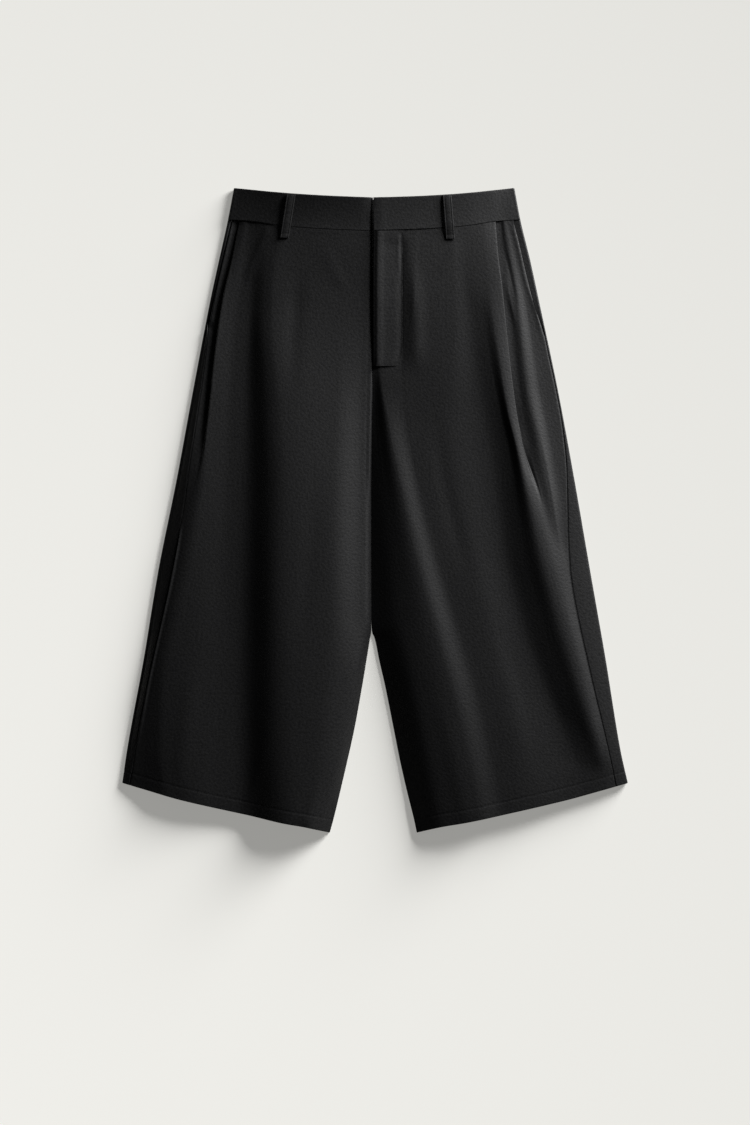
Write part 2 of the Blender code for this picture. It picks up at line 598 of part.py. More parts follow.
BELT_LOOPS = {
    "left": {"top": (-95, 5.5), "foot": (-103.5, 57.5)},
    "right": {"top": (82, 7), "foot": (86, 58.5)},
}
# Share of the way down, and how far the loop stands off what it lies on.
LOOP_ARCH = [(0, 0.4), (0.06, 1.0), (0.3, 1.8), (0.6, 1.8), (0.86, 1.6), (1, 0.4)]


def heightBelowLoop(side, out, down):
    """Height of the waistband's face at a place, or of the front panel's once past the waist seam."""
    share = 0.5
    for _ in range(8):
        row = bandRow(side, share)
        share = share + (down - row.downAt(out)) / (WAIST_SEAM["middle"] - BAND_EDGE["middle"])
    if share > 1:
        return surfaceHeight(side, out, down)
    return bandHeight(bandRow(side, max(share, 0)), out)


def makeBeltLoop(side, material):
    """A strip from the waistband's top edge down to the panel, standing a little off the band."""
    ends = BELT_LOOPS[side]
    outer, inner = [], []
    for share, stand in LOOP_ARCH:
        middle = mix(ends["top"][0], ends["foot"][0], share)
        down = mix(ends["top"][1], ends["foot"][1], share)
        y = (MIDDLE_DOWN - down) * MM
        lines = [], []
        for offset in (-LOOP_WIDTH / 2, LOOP_WIDTH / 2):
            x = middle + offset
            height = heightBelowLoop(side, SIDES[side] * x, down) + stand
            lines[0].append((x * MM, y, (height + LOOP_WALL) * MM))
            lines[1].append((x * MM, y, height * MM))
        outer.append(lines[0])
        inner.append(lines[1])
    return makeWall("belt_loop_" + side, outer, inner, material)


def buildCulottes():
    for old in list(bpy.data.objects):
        bpy.data.objects.remove(old)
    cloth = (0.012, 0.012, 0.013)
    for side in SIDES:
        frontCloth = makeMaterial("front " + side, cloth, 0.8)
        backCloth = makeMaterial("back " + side, cloth, 0.8)
        sweptWall("front_" + side, legRows(side), frontSection, wallAt, frontCloth)
        sweptWall("back_" + side, legRows(side), backSection, wallAt, backCloth, faceDown=True)
        makeFacing(side, makeMaterial("pocket facing " + side, cloth, 0.85))
        band = [bandRow(side, share) for share in (0, 0.5, 1)]
        sweptWall("waistband_" + side, band, bandFrontSection, BAND_WALL,
                  makeMaterial("waistband " + side, (0.013, 0.013, 0.014), 0.8))
        makeBeltLoop(side, makeMaterial("belt loop " + side, cloth, 0.8))
    makeBandBack(makeMaterial("waistband back", (0.013, 0.013, 0.014), 0.8))
    makeFly(makeMaterial("fly", cloth, 0.8))


buildCulottes()
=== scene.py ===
# Culottes laid flat on a pale surface: cloth panels, sewing, light and camera.
# Sizes are in millimetres: down from the waist's corners, across from the middle, height above the surface.
import math
import bpy
import numpy as np
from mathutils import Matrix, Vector, noise
from mathutils.bvhtree import BVHTree


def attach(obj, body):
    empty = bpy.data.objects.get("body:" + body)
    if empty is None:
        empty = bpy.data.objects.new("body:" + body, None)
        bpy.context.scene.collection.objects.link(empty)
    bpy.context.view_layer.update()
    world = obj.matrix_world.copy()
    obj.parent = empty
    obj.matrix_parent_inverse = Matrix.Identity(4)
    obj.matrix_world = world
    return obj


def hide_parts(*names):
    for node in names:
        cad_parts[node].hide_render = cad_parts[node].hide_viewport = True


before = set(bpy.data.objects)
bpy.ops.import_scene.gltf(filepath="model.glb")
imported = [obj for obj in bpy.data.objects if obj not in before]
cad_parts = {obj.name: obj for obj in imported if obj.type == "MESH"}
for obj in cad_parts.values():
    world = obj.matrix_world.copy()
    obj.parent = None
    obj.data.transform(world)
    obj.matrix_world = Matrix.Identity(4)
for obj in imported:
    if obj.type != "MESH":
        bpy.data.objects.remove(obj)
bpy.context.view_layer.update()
print("frame loaded")

mm = 0.001
middleDown = 370.85          # from the waist's corners down to the middle of the garment's length
sharpAngle = 50.0            # degrees, from which an edge of a wall is shaded sharp
pieces, grids = {}, {}       # the finished objects, and the points that each cloth was made from


class Curve:
    # a smooth line through (x, y) pairs that never swings past them
    def __init__(self, pairs):
        xs, ys = (np.array(values, float) for values in zip(*pairs))
        steps = np.diff(ys) / np.diff(xs)
        product, total = steps[:-1] * steps[1:], steps[:-1] + steps[1:]
        inner = np.where(product > 0, 2 * product / np.where(product > 0, total, 1), 0)
        self.xs, self.ys = xs, ys
        self.slopes = np.concatenate([steps[:1], inner, steps[-1:]])

    def __call__(self, x):
        x = np.clip(x, self.xs[0], self.xs[-1])
        i = np.clip(np.searchsorted(self.xs, x, side="right") - 1, 0, len(self.xs) - 2)
        width = self.xs[i + 1] - self.xs[i]
        t = (x - self.xs[i]) / width
        fromLeft = self.ys[i] * (1 + 2 * t) + self.slopes[i] * width * t
        fromRight = self.ys[i + 1] * (3 - 2 * t) - self.slopes[i + 1] * width * (1 - t)
        return fromLeft * (1 - t) ** 2 + fromRight * t * t


def lineCurve(line, place=1):
    # one value of a line's knots by how far down they lie: 1 is across, 2 is height
    return Curve([(knot[0], knot[place]) for knot in line])


def mix(a, b, share):
    return a + (b - a) * share


def softStep(low, high, x):
    t = np.clip((x - low) / (high - low), 0, 1)
    return t * t * (3 - 2 * t)


def blurred(grid, radius, axis):
    # a soft average along one axis, with the ends held
    weights = np.hanning(2 * radius + 3)[1:-1]
    weights /= weights.sum()
    pads = [(0, 0)] * grid.ndim
    pads[axis] = (radius, radius)
    padded = np.pad(grid, pads, mode="reflect", reflect_type="odd")
    return np.apply_along_axis(lambda line: np.convolve(line, weights, mode="valid"), axis, padded)


def resampled(path, count):
    # the same line with its points evenly spaced
    lengths = np.concatenate([[0], np.cumsum(np.linalg.norm(np.diff(path, axis=0), axis=1))])
    even = np.linspace(0, lengths[-1], count)
    return np.stack([np.interp(even, lengths, path[:, k]) for k in range(path.shape[1])], axis=1)


def spaced(length, step, ends=(0.0, 0.12, 0.35, 0.7, 1.2)):
    # places along a length, close together near both ends
    middle = np.linspace(ends[-1], length - ends[-1], max(int((length - 2 * ends[-1]) / step), 2))[1:-1]
    return np.concatenate([ends, middle, length - np.array(ends)[::-1]])


def edgeDistance(places):
    return np.minimum(places, places[-1] - places)


def roundedShift(distance, radius):
    # how far a face falls away near a rounded edge
    near = np.clip(radius - distance, 0, radius)
    return radius - np.sqrt(radius * radius - near * near)


def gridNormals(points, facing):
    normals = np.cross(np.gradient(points, axis=0), np.gradient(points, axis=1)) * facing
    return normals / np.linalg.norm(normals, axis=2, keepdims=True)


def makeCloth(node, points, facing, wall, shift=0.0):
    # a closed wall of cloth: its outer face lies at the points, its inner face one wall behind it
    shift, wall = (np.broadcast_to(value, points.shape[:2])[..., None] for value in (shift, wall))
    normals = gridNormals(points, facing)
    outer, inner = points - normals * shift, points - normals * (wall - shift)
    rows, columns = points.shape[:2]
    at = np.arange(rows * columns).reshape(rows, columns)
    under = at + rows * columns

    def quads(*corners):
        return np.stack(corners, axis=-1).reshape(-1, 4)

    faces = np.concatenate([
        quads(at[:-1, :-1], at[1:, :-1], at[1:, 1:], at[:-1, 1:]),
        quads(under[:-1, :-1], under[:-1, 1:], under[1:, 1:], under[1:, :-1]),
        quads(at[:-1, 0], under[:-1, 0], under[1:, 0], at[1:, 0]),
        quads(at[:-1, -1], at[1:, -1], under[1:, -1], under[:-1, -1]),
        quads(at[0, :-1], at[0, 1:], under[0, 1:], under[0, :-1]),
        quads(at[-1, :-1], under[-1, :-1], under[-1, 1:], at[-1, 1:])])
    if facing < 0:
        faces = faces[:, ::-1]
    name = node + "_cloth"
    mesh = bpy.data.meshes.new(name)
    corners = np.concatenate([outer.reshape(-1, 3), inner.reshape(-1, 3)]) * mm
    mesh.from_pydata(corners.tolist(), [], faces.tolist())
    # the weave runs straight down, and across by the length round the folds
    steps = np.linalg.norm(np.diff(points, axis=1, prepend=points[:, :1]), axis=2)
    grain = np.stack([np.cumsum(steps, axis=1), -points[..., 1]], axis=-1).reshape(-1, 2)
    layer = mesh.uv_layers.new(name="grain")
    layer.data.foreach_set("uv", (np.concatenate([grain, grain]) * mm)[faces.reshape(-1)].reshape(-1))
    mesh.shade_smooth()
    mesh.set_sharp_from_angle(angle=math.radians(sharpAngle))
    mesh.materials.append(suiting)
    pieces[node] = bpy.data.objects.new(name, mesh)
    grids[node] = points
    bpy.context.collection.objects.link(pieces[node])


# the legs' outline and the lines that run down them: (down, across, height)
shape = {
    "waistSeam": (48.0, 37.5),     # down at the middle and at the side
    "hem": (741.0, 684.0),
    # where the rows' spacing changes, and the spacing from there on
    "rows": [(48, 1.0), (54, 3.6), (702, 2.0), (722, 0.75), (731, 1.6), (739, 0.4)],
    "seamBlend": (25, 5),          # how softly the pocket's end runs over into the side seam
    "rollBlend": 0.4,
    "blur": (3, 4),                # columns and rows over which the cloth before the fold is softened
    "sewnPast": 0.001,             # how far past the pocket's end the side seam starts, as a share of the leg
    # how far the waist, its seam and the hem hang below straight lines, by share of the way to the side
    "topSag": [(0, 3.4), (0.15, 4.2), (0.37, 4.7), (0.55, 4.4), (0.7, 3.5), (0.85, 1.9), (0.95, 0.6), (1, 0)],
    "seamSag": [(0, 3.6), (0.15, 4.2), (0.37, 4.8), (0.55, 4.5), (0.68, 3.2), (0.8, 0.9), (0.9, 0.1), (1, 0)],
    "hemSag": [(0, 0), (0.1, -0.85), (0.24, 0.9), (0.45, 2.1), (0.7, 2.6), (0.87, 1.2), (1, 0)],
}
legs = {
    "left": {
        "sign": -1,
        "roll": 3.0,               # how far the side rolls in
        "outline": [(0, -162, 6), (37, -169, 5), (82, -179, 3.8), (128, -189, 3.6), (232, -209, 3.6),
            (335, -228, 3.6), (439, -249, 3.6), (542, -266, 3.6), (646, -285, 3.8), (684, -290.5, 4)],
        "upperSeam": [(37, 0), (100, 0.5), (140, 1.3), (154, 1.8), (168, 4.4), (185, 6)],
        "pocketEnd": 0.18,
        "mouthDrop": 2.0,
        "opened": (290, 350),      # how far down the pleat's fold opens into a soft ridge
        "softness": 8.0,
        "before": {
            "edge": [(48, -2, 13.4), (130, -2.5, 11), (206, -2.5, 8), (266, -3.5, 5.6), (370, -4.5, 3.4),
                (496, -4.2, 2), (509, -4.4, 2), (516, -5.6, 2), (542, -9.8, 2), (570, -14.4, 2), (622, -23.8, 2),
                (657, -31.5, 2), (692, -39.6, 2.6), (726, -47.8, 4), (741, -52, 4)],
            "seam fold": [(48, -3.4, 15.4), (130, -4, 12), (206, -4.2, 9.4), (266, -5.2, 8.4), (370, -6.3, 8),
                (440, -6.4, 8), (496, -6.6, 7.8), (516, -8, 6.2), (563, -15.6, 4.8), (646, -31.5, 5),
                (741, -54.5, 6)],
            "inner slope": [(48, -7, 16), (130, -8, 12.6), (206, -10, 10), (266, -11, 8.9), (370, -12, 8.8),
                (440, -12, 8.9), (496, -15, 10), (563, -26, 14), (646, -41, 14), (741, -64, 13)],
            "crest": [(48, -45, 16.2), (130, -42, 13.3), (206, -38, 13.4), (266, -42, 15.2), (370, -46, 19),
                (473, -48, 20.6), (563, -56, 21), (646, -66, 21.2), (741, -76, 20)],
            "step top": [(48, -106, 13.8), (130, -116, 13.6), (163, -116, 15), (206, -112, 17.2), (266, -106, 19.2),
                (370, -100, 21.8), (473, -99, 22.6), (646, -98, 22.8), (741, -97, 22)],
            "step high": [(48, -120, 12), (130, -128, 12), (163, -128, 13.4), (206, -125, 15.6), (266, -120, 17.8),
                (370, -115, 20.6), (473, -115, 21.6), (646, -114, 21.6), (741, -113, 20.4)],
            "step low": [(48, -134, 9.8), (130, -143, 8.2), (163, -145, 8), (206, -147, 8.2), (266, -148, 8.8),
                (370, -149, 9.4), (473, -150, 9.6), (563, -151, 9.8), (646, -150, 9.8), (741, -148, 9.8)],
            "step foot": [(48, -144, 8.2), (130, -155, 7.8), (206, -162, 8.2), (266, -165, 8.8), (370, -167, 9.4),
                (473, -168, 9.8), (646, -168, 10.8), (741, -165, 11)],
            "plateau": [(48, -150, 7.9), (130, -165, 8.3), (206, -175, 9.3), (266, -180, 10), (330, -185, 10.6),
                (370, -189, 11.2), (473, -205, 12.4), (563, -216, 13.5), (646, -216, 14.4), (741, -210, 14.8)],
        },
        "fold": [(40, -156, 6.4), (81, -164, 7.6), (129, -175, 9), (190, -184, 10.2), (255, -191, 11),
            (330, -200, 12), (410, -211, 12.8), (495, -229, 12.9), (563, -243, 12.9), (646, -246, 13.3),
            (684, -242, 13.6)],
        "after": {
            "underlay": [(40, -160, 4.6), (129, -179, 4.9), (190, -188, 5.8), (255, -195, 7), (330, -207, 10.2),
                (410, -219, 11.8), (495, -238, 11.6), (563, -254, 10.6), (646, -265, 9), (684, -267, 8)],
            "outer edge": [(40, -164, 5.2), (105, -179, 5.2), (141, -187, 5.4), (168, -192, 5.6), (204, -196, 6.4),
                (265, -205, 7.8), (328, -214.5, 9), (366, -219, 9.4), (443, -233, 9.6), (495, -244, 9.4),
                (563, -259.6, 8.8), (645, -275.4, 7.2), (684, -282, 5.4)],
        },
        # down, degrees turned under, length of the run beneath, radius of the nose, radius of the turn back
        "turns": [(40, 180, 7, 0.95, 0.12), (180, 180, 5, 1.1, 0.2), (235, 165, 3, 1.2, 0.3),
            (275, 90, 0.6, 1.3, 0.5), (320, 38, 2, 2.6, 2.5), (370, 14, 3, 4, 4), (684, 5, 2, 5, 5)],
        "steps": {"edge": 6, "seam fold": 8, "inner slope": 12, "crest": 14, "step top": 8, "step high": 12,
            "step low": 6, "step foot": 10, "plateau": 8, "underlay": 8},
    },
    "right": {
        "sign": 1,
        "roll": 1.7,
        "outline": [(0, 160, 6), (37, 167, 5.5), (82, 178, 4.5), (128, 188, 4.4), (232, 210, 5.4), (335, 229, 6),
            (439, 247, 6.4), (542, 265, 6.4), (646, 282, 6.2), (684, 290.5, 5.8)],
        "upperSeam": [(37, 0), (100, 0.3), (140, 0.8), (167, 1.8), (205, 2.2)],
        "pocketEnd": 0.2,
        "mouthDrop": 1.05,
        "opened": (290, 375),
        "softness": 8.0,
        "before": {
            "edge": [(48, -2, 17.7), (130, -2.5, 14.4), (206, -2.5, 9.4), (266, -3.5, 4.6), (370, -4.5, 2.6),
                (496, -4.2, 2), (509, -3.6, 2), (516, -0.6, 2), (542, 4.8, 2), (570, 11.2, 2), (622, 21.6, 2),
                (657, 28.5, 2), (692, 36.4, 2.6), (726, 44.8, 4), (741, 48, 4)],
            "inner slope": [(48, 2.4, 17.7), (130, 2, 14.5), (206, 0.4, 9.8), (266, 2, 6.4), (301, 5, 7.4),
                (349, 11, 9.6), (424, 20, 12.6), (511, 32, 15), (586, 49, 16.4), (646, 60, 16.8), (741, 78, 16)],
            "crest": [(48, 8, 17.6), (130, 8, 14.4), (206, 6, 10.6), (236, 9, 10.6), (266, 14, 11.6),
                (301, 20, 13.2), (349, 30, 15.4), (424, 46, 17.9), (511, 69, 19.6), (586, 89, 20.2),
                (646, 103, 20.2), (741, 121, 19)],
            "lee": [(48, 50, 15.6), (130, 46, 13.4), (206, 32, 11), (266, 36, 10.2), (301, 42, 10.9), (349, 52, 12),
                (424, 71, 13.4), (511, 97, 14.4), (586, 119, 15.2), (646, 133, 15.4), (741, 151, 15.6)],
            "hump": [(48, 92, 12.9), (130, 92, 12.3), (206, 87, 12), (266, 84, 11.4), (349, 93, 12.4),
                (424, 108, 13.2), (511, 130, 14), (586, 150, 14.6), (646, 164, 15), (741, 176, 15)],
            "pleat foot": [(48, 104, 12.1), (97, 104, 11.7), (150, 108, 11.2), (195, 112, 10.6), (257, 121, 9.8),
                (297, 129, 9.6), (359, 139, 9.6), (421, 147, 9.9), (478, 161, 10.1), (516, 172, 10), (578, 195, 9.6),
                (625, 214, 9.2), (654, 226, 9.2), (672, 231, 9.8), (741, 236, 10)],
            "pleat slope": [(45, 117, 11.2), (97, 116, 11.6), (150, 125, 12.4), (195, 132, 12.6), (257, 144.5, 12.8),
                (297, 154, 13.3), (359, 163, 14.2), (421, 171.5, 14.6), (478, 185.5, 14.2), (516, 196.5, 13.9),
                (578, 218, 13), (625, 235, 12), (654, 244.5, 11), (672, 248.5, 9.7), (741, 252, 9.2)],
            "pleat crest": [(45, 128, 10.2), (97, 131, 11.4), (150, 136, 13.8), (195, 142.5, 15.2),
                (257, 152.5, 16.8), (297, 162, 17.8), (359, 175, 19.2), (421, 189, 19.4), (478, 204, 18.4),
                (516, 215, 17.6), (578, 234.5, 16), (625, 248.5, 14.2), (650, 255.5, 12.6), (672, 260, 9.6),
                (700, 264, 8.8)],
        },
        "fold": [(42, 138.5, 8.4), (75, 141, 9.6), (116, 146, 11.2), (194, 154, 13.2), (256, 162, 14.6),
            (286, 167.5, 15.2), (316, 173.5, 15.7), (348, 182, 16.4), (384, 192.5, 16.8), (440, 206.5, 17),
            (478, 214.5, 16.9), (516, 224, 16.4), (578, 240.5, 15), (611, 249.5, 14.2), (646, 259.6, 12.2),
            (672, 264.8, 9.2), (690, 268, 8.6)],
        "after": {
            "underlay": [(42, 144, 6.3), (75, 147, 6.9), (116, 152, 8.2), (194, 160, 9.6), (256, 168, 10.8),
                (286, 173.5, 11.6), (316, 180, 12.4), (348, 189, 13.4), (384, 198.5, 14), (440, 212.5, 14.6),
                (478, 219.8, 15.2), (516, 229.2, 14.8), (578, 245, 13.6), (611, 253, 12.9), (646, 262.4, 11.3),
                (672, 267.2, 8.9), (690, 270.4, 8.4)],
            "second crest": [(42, 148, 7.1), (92, 156, 7.8), (129, 161.5, 9.1), (172, 166.5, 10.2), (236, 174, 11.6),
                (279, 183, 12.6), (322, 191, 13.2), (366, 200.5, 13.6), (406, 207.5, 13.4), (441, 217, 13.2),
                (478, 223, 13.8), (516, 232.2, 13.4), (578, 247.8, 12.1), (611, 255, 11.7), (646, 263.8, 10.6),
                (672, 268.6, 8.7), (690, 271.8, 8.2)],
            "second foot": [(42, 153, 6.6), (92, 165, 6.2), (129, 173, 6.3), (172, 180, 6.6), (236, 190, 7.4),
                (279, 198.5, 8), (322, 206, 8.6), (366, 212, 9.4), (406, 216, 10), (441, 220.6, 11.2),
                (478, 226, 11.8), (516, 234.6, 11.6), (578, 249.8, 10.8), (611, 256.7, 10.6), (646, 265, 9.8),
                (672, 270, 8.4), (690, 273.2, 7.9)],
            "outer edge": [(42, 160, 6.2), (65, 166, 5.7), (104, 175, 5.4), (134, 183, 5.4), (157, 190.8, 5.2),
                (167, 193.8, 4.9), (183, 197.4, 4.9), (231, 208, 5.2), (278, 216, 5.8), (330, 220.5, 6.9),
                (404, 221.5, 8.8), (441, 223.5, 9.8), (458, 225.6, 10), (495, 232.4, 10.1), (540, 242.4, 10.1),
                (585, 253, 9.7), (630, 264, 9.1), (664, 271.6, 8.2), (687, 276.2, 7.4)],
        },
        "turns": [(40, 180, 8, 0.95, 0.12), (180, 180, 6, 1, 0.2), (235, 160, 3.2, 1.2, 0.3), (292, 90, 1, 1.4, 0.5),
            (345, 42, 2, 3, 2.5), (400, 16, 2.5, 5, 5), (690, 5, 2, 6, 6)],
        "steps": {"edge": 12, "inner slope": 12, "crest": 42, "lee": 10, "hump": 10, "pleat foot": 12,
            "pleat slope": 12, "pleat crest": 5, "underlay": 8, "second crest": 12, "second foot": 12},
    },
}

# creases listed one by one: a line of (down, across), its height above the cloth, its reach to the left and right,
# and the shares of its length that fade out at its start and end
creases = {
    "front_left": [
        ([(85, -87), (150, -92), (262, -97)], -0.8, (8.0, 8.0), (0.3, 0.5)),
        ([(300, -66), (420, -74), (560, -88)], -0.45, (11.0, 11.0), (0.4, 0.4)),
        ([(520, -200), (600, -214), (700, -226)], 0.5, (9.0, 9.0), (0.5, 0.2)),
        ([(610, -120), (690, -138), (728, -150)], 0.55, (7.0, 7.0), (0.5, 0.1)),
        ([(610, -34), (680, -56), (736, -84)], 0.8, (8.0, 8.0), (0.5, 0.1)),
        ([(62, -60), (92, -48), (128, -28)], 0.35, (6.0, 6.0), (0.35, 0.35)),
        ([(372, -219.4), (443, -232), (495, -243.5), (563, -258.6), (645, -274), (664, -278)], 1.3, (1.1, 1.8),
            (0.15, 0.3)),
        ([(44, -121), (74, -135), (112, -149)], 0.7, (3.5, 9.0), (0.1, 0.3)),
    ],
    "front_right": [
        ([(70, 44), (150, 46), (219, 47)], 1.5, (6.0, 8.0), (0.45, 0.25)),
        ([(56, 31), (120, 31), (170, 31), (206, 30), (228, 28)], -1.0, (24.0, 5.2), (0.08, 0.28)),
        ([(52, 30.6), (120, 30.6), (178, 30.4), (190, 29.2), (199, 26.4), (205, 22)], -0.6, (5.0, 1.3), (0.02, 0.12)),
        ([(44, 157.8), (66, 163.8), (88, 168.6), (109, 173.4), (128, 179.8), (149, 186.6), (186, 195.4)],
            0.35, (2.4, 1.2), (0.04, 0.25)),
        ([(92, 148), (120, 152.5), (140, 157), (166, 163)], 0.7, (1.8, 2.6), (0.35, 0.4)),
        ([(64, 147), (94, 154), (140, 163.5)], -0.5, (2.0, 2.0), (0.3, 0.3)),
        ([(268, 186), (322, 197.2), (366, 204.8), (406, 211), (441, 218)], 0.35, (1.9, 1.9), (0.3, 0.5)),
        ([(540, 172), (590, 205), (636, 240), (676, 266)], -0.4, (14.0, 12.0), (0.6, 0.2)),
        ([(240, 66), (330, 78), (470, 112)], -0.6, (8.0, 8.0), (0.4, 0.4)),
        ([(560, 66), (660, 92), (735, 106)], 0.45, (9.0, 9.0), (0.5, 0.1)),
        ([(60, 100), (84, 84), (104, 74)], 0.3, (6.0, 6.0), (0.35, 0.35)),
        ([(470, 130), (580, 168), (700, 196)], -0.4, (9.0, 9.0), (0.4, 0.3)),
    ],
    "back_left": [
        ([(90, -60), (220, -84), (420, -110)], 0.7, (9.0, 9.0), (0.35, 0.35)),
        ([(330, -150), (470, -168), (690, -196)], 0.8, (11.0, 11.0), (0.35, 0.35)),
        ([(520, -60), (620, -82), (720, -104)], 0.6, (8.0, 8.0), (0.35, 0.35)),
    ],
    "back_right": [
        ([(80, 70), (210, 90), (400, 128)], 0.7, (9.0, 9.0), (0.35, 0.35)),
        ([(300, 60), (470, 98), (690, 146)], 0.9, (11.0, 11.0), (0.35, 0.35)),
        ([(430, 176), (560, 204), (680, 226)], 0.6, (8.0, 8.0), (0.35, 0.35)),
    ],
}
unevenness = {"size": 46.0, "stretch": 2.4, "height": 0.3, "fine": 15.0, "fineHeight": 0.05, "seed": 4.3}
topSag, seamSag, hemSag = (Curve(shape[line]) for line in ("topSag", "seamSag", "hemSag"))
legLength = shape["hem"][0] - shape["waistSeam"][0]


class Leg:
    # one leg's rows between two lines across the garment (share 0 to 1); out is the distance from the middle
    def __init__(self, side, shares, first=shape["waistSeam"], last=shape["hem"], sags=(seamSag, hemSag)):
        self.table, self.sign, self.shares, self.sags = legs[side], legs[side]["sign"], shares[:, None], sags
        self.middle = mix(first[0], last[0], self.shares)
        self.side = mix(first[1], last[1], self.shares)
        outline = self.table["outline"]
        self.middleOut = self.sign * lineCurve(self.table["before"]["edge"])(self.middle)
        self.outlineOut = self.sign * lineCurve(outline)(self.side)
        self.rollHeight = lineCurve(outline, 2)(self.side)
        self.flatEnd = self.outlineOut - self.table["roll"]

    def downAt(self, out):
        part = (out - self.middleOut) / (self.outlineOut - self.middleOut)
        first, last = self.sags
        return mix(self.middle, self.side, part) + mix(first(part), last(part), self.shares)

    def crossing(self, line):
        # where a line down the leg crosses each row, found by closing in, and how high it is there
        across, height = lineCurve(line), lineCurve(line, 2)
        out = self.outlineOut / 2
        for step in range(9):
            out = self.sign * across(self.downAt(out))
        return out, height(self.downAt(out))

    def crossings(self, lines):
        # the same for several lines, one column for each
        found = [self.crossing(line) for line in lines.values()]
        return np.hstack([out for out, height in found]), np.hstack([height for out, height in found])

    def placed(self, out, height):
        return np.stack([self.sign * out, middleDown - self.downAt(out), height], axis=-1)

    def rolled(self, angle, height=None):
        # the rolled side at an angle: -90 underneath, 0 at the outline, 90 on top
        half = (self.rollHeight if height is None else height) / 2
        return self.flatEnd + self.table["roll"] * np.cos(angle), half + half * np.sin(angle)

    def rollArc(self, row, first, last, count):
        # the rolled side of one row between two angles, as (out, height)
        angles, half = np.linspace(first, last, count), self.rollHeight[row, 0] / 2
        outs = self.flatEnd[row, 0] + self.table["roll"] * np.cos(angles)
        return np.stack([outs, half + half * np.sin(angles)], axis=1)

    def sideSeam(self):
        # where the back's upper edge lies: out, height, how far in from the outline, and its angle on the roll
        out, height = self.crossing(self.table["after"]["outer edge"])
        upper, upperEnd = lineCurve(self.table["upperSeam"]), self.table["upperSeam"][-1][0]
        blend = softStep(upperEnd - shape["seamBlend"][0], upperEnd + shape["seamBlend"][1], self.side)
        out = mix(self.outlineOut - upper(self.side), out, blend)
        inset, radius = self.outlineOut - out, self.table["roll"]
        return out, height, inset, np.arccos((radius - np.minimum(inset, radius)) / radius)


def legShares():
    # rows close together at the waist seam and round the hem's stitching
    starts, hemDown = shape["rows"], shape["hem"][0]
    ends = [down for down, step in starts[1:]] + [hemDown]
    downs = np.concatenate([np.arange(down, end, step) for (down, step), end in zip(starts, ends)] + [[hemDown]])
    return (downs - downs[0]) / (downs[-1] - downs[0])


legRows = legShares()
foldColumns = {"nose": 11, "run": (0.33, 0.67), "turn back": 6, "beyond": 4}


def foldPath(leg, slope):
    # round the nose of the pleat, back underneath, and round the turn back to face up again
    out, top = leg.crossing(leg.table["fold"])
    turn, run, nose, back = (lineCurve(leg.table["turns"], place)(leg.downAt(out)) for place in (1, 2, 3, 4))
    turn, start = np.radians(turn), np.arctan(slope)
    centreOut, centreHeight = out - nose * np.sin(np.minimum(turn, math.pi / 2)), top - nose
    outs, heights = [], []
    for part in np.linspace(0, 1, foldColumns["nose"]):
        outs.append(centreOut - nose * np.sin(start - turn * part))
        heights.append(centreHeight + nose * np.cos(start - turn * part))
    heading, noseOut, noseHeight = start - turn, outs[-1], heights[-1]
    for part in foldColumns["run"]:
        outs.append(noseOut + part * run * np.cos(heading))
        heights.append(noseHeight + part * run * np.sin(heading))
    backOut = noseOut + run * np.cos(heading) - back * np.sin(heading)
    backHeight = noseHeight + run * np.sin(heading) + back * np.cos(heading)
    for part in np.linspace(1, 0, foldColumns["turn back"]):
        outs.append(backOut + back * np.sin(heading * part))
        heights.append(backHeight - back * np.cos(heading * part))
    return np.hstack(outs), np.hstack(heights)


def sectionRows(knotOuts, knotHeights, counts):
    # heights along each row through its knots, with the columns of every stretch evenly spaced
    outs, heights = [], []
    for rowOuts, rowHeights in zip(knotOuts, knotHeights):
        places = np.concatenate([np.linspace(a, b, n, endpoint=False)
                                 for a, b, n in zip(rowOuts, rowOuts[1:], counts)] + [rowOuts[-1:]])
        outs.append(places)
        heights.append(Curve(list(zip(rowOuts, rowHeights)))(places))
    return np.array(outs), np.array(heights)


def smoothAcross(outs, heights, reach, step=0.5):
    # the same rows with their heights softened over a distance, both ends held
    weights = np.hanning(int(2 * reach / step) + 1)
    weights /= weights.sum()
    rows = []
    for rowOuts, rowHeights in zip(outs, heights):
        order = np.maximum.accumulate(rowOuts)
        even = np.arange(order[0], order[-1] + step, step)
        level = np.interp(even, order, rowHeights)
        padded = np.pad(level, len(weights) // 2, mode="reflect", reflect_type="odd")
        rows.append(np.interp(order, even, np.convolve(padded, weights, mode="valid")))
    return np.array(rows)


def beforeFold(leg, foldStart, foldHeight, outs, heights):
    # the cloth from the centre to the pleat's nose, softened along the rows and down the leg
    counts = [leg.table["steps"][name] for name in leg.table["before"]]
    outs, heights = sectionRows(np.hstack([outs, foldStart]), np.hstack([heights, foldHeight]), counts)
    return outs, blurred(blurred(heights, shape["blur"][0], 1), shape["blur"][1], 0)


def afterFold(leg, foldEnd, foldHeight):
    # the cloth from the pleat to the pocket mouth or, further down, to the side seam
    table = leg.table
    outs, heights = leg.crossings(table["after"])
    seamOut, seamHeight, inset, seamAngle = leg.sideSeam()
    rollOut, rollHeight = leg.rolled(seamAngle)
    onRoll = 1 - softStep(table["roll"] - shape["rollBlend"], table["roll"] + shape["rollBlend"], inset)
    isSewn = leg.shares > table["pocketEnd"] + shape["sewnPast"]
    outs[:, -1:] = np.where(isSewn, mix(seamOut, rollOut, onRoll), outs[:, -1:])
    heights[:, -1:] = np.where(isSewn, mix(seamHeight, rollHeight, onRoll), heights[:, -1:])
    counts = [foldColumns["beyond"]] + [table["steps"][name] for name in list(table["after"])[:-1]]
    return sectionRows(np.hstack([foldEnd, outs]), np.hstack([foldHeight, heights]), counts)


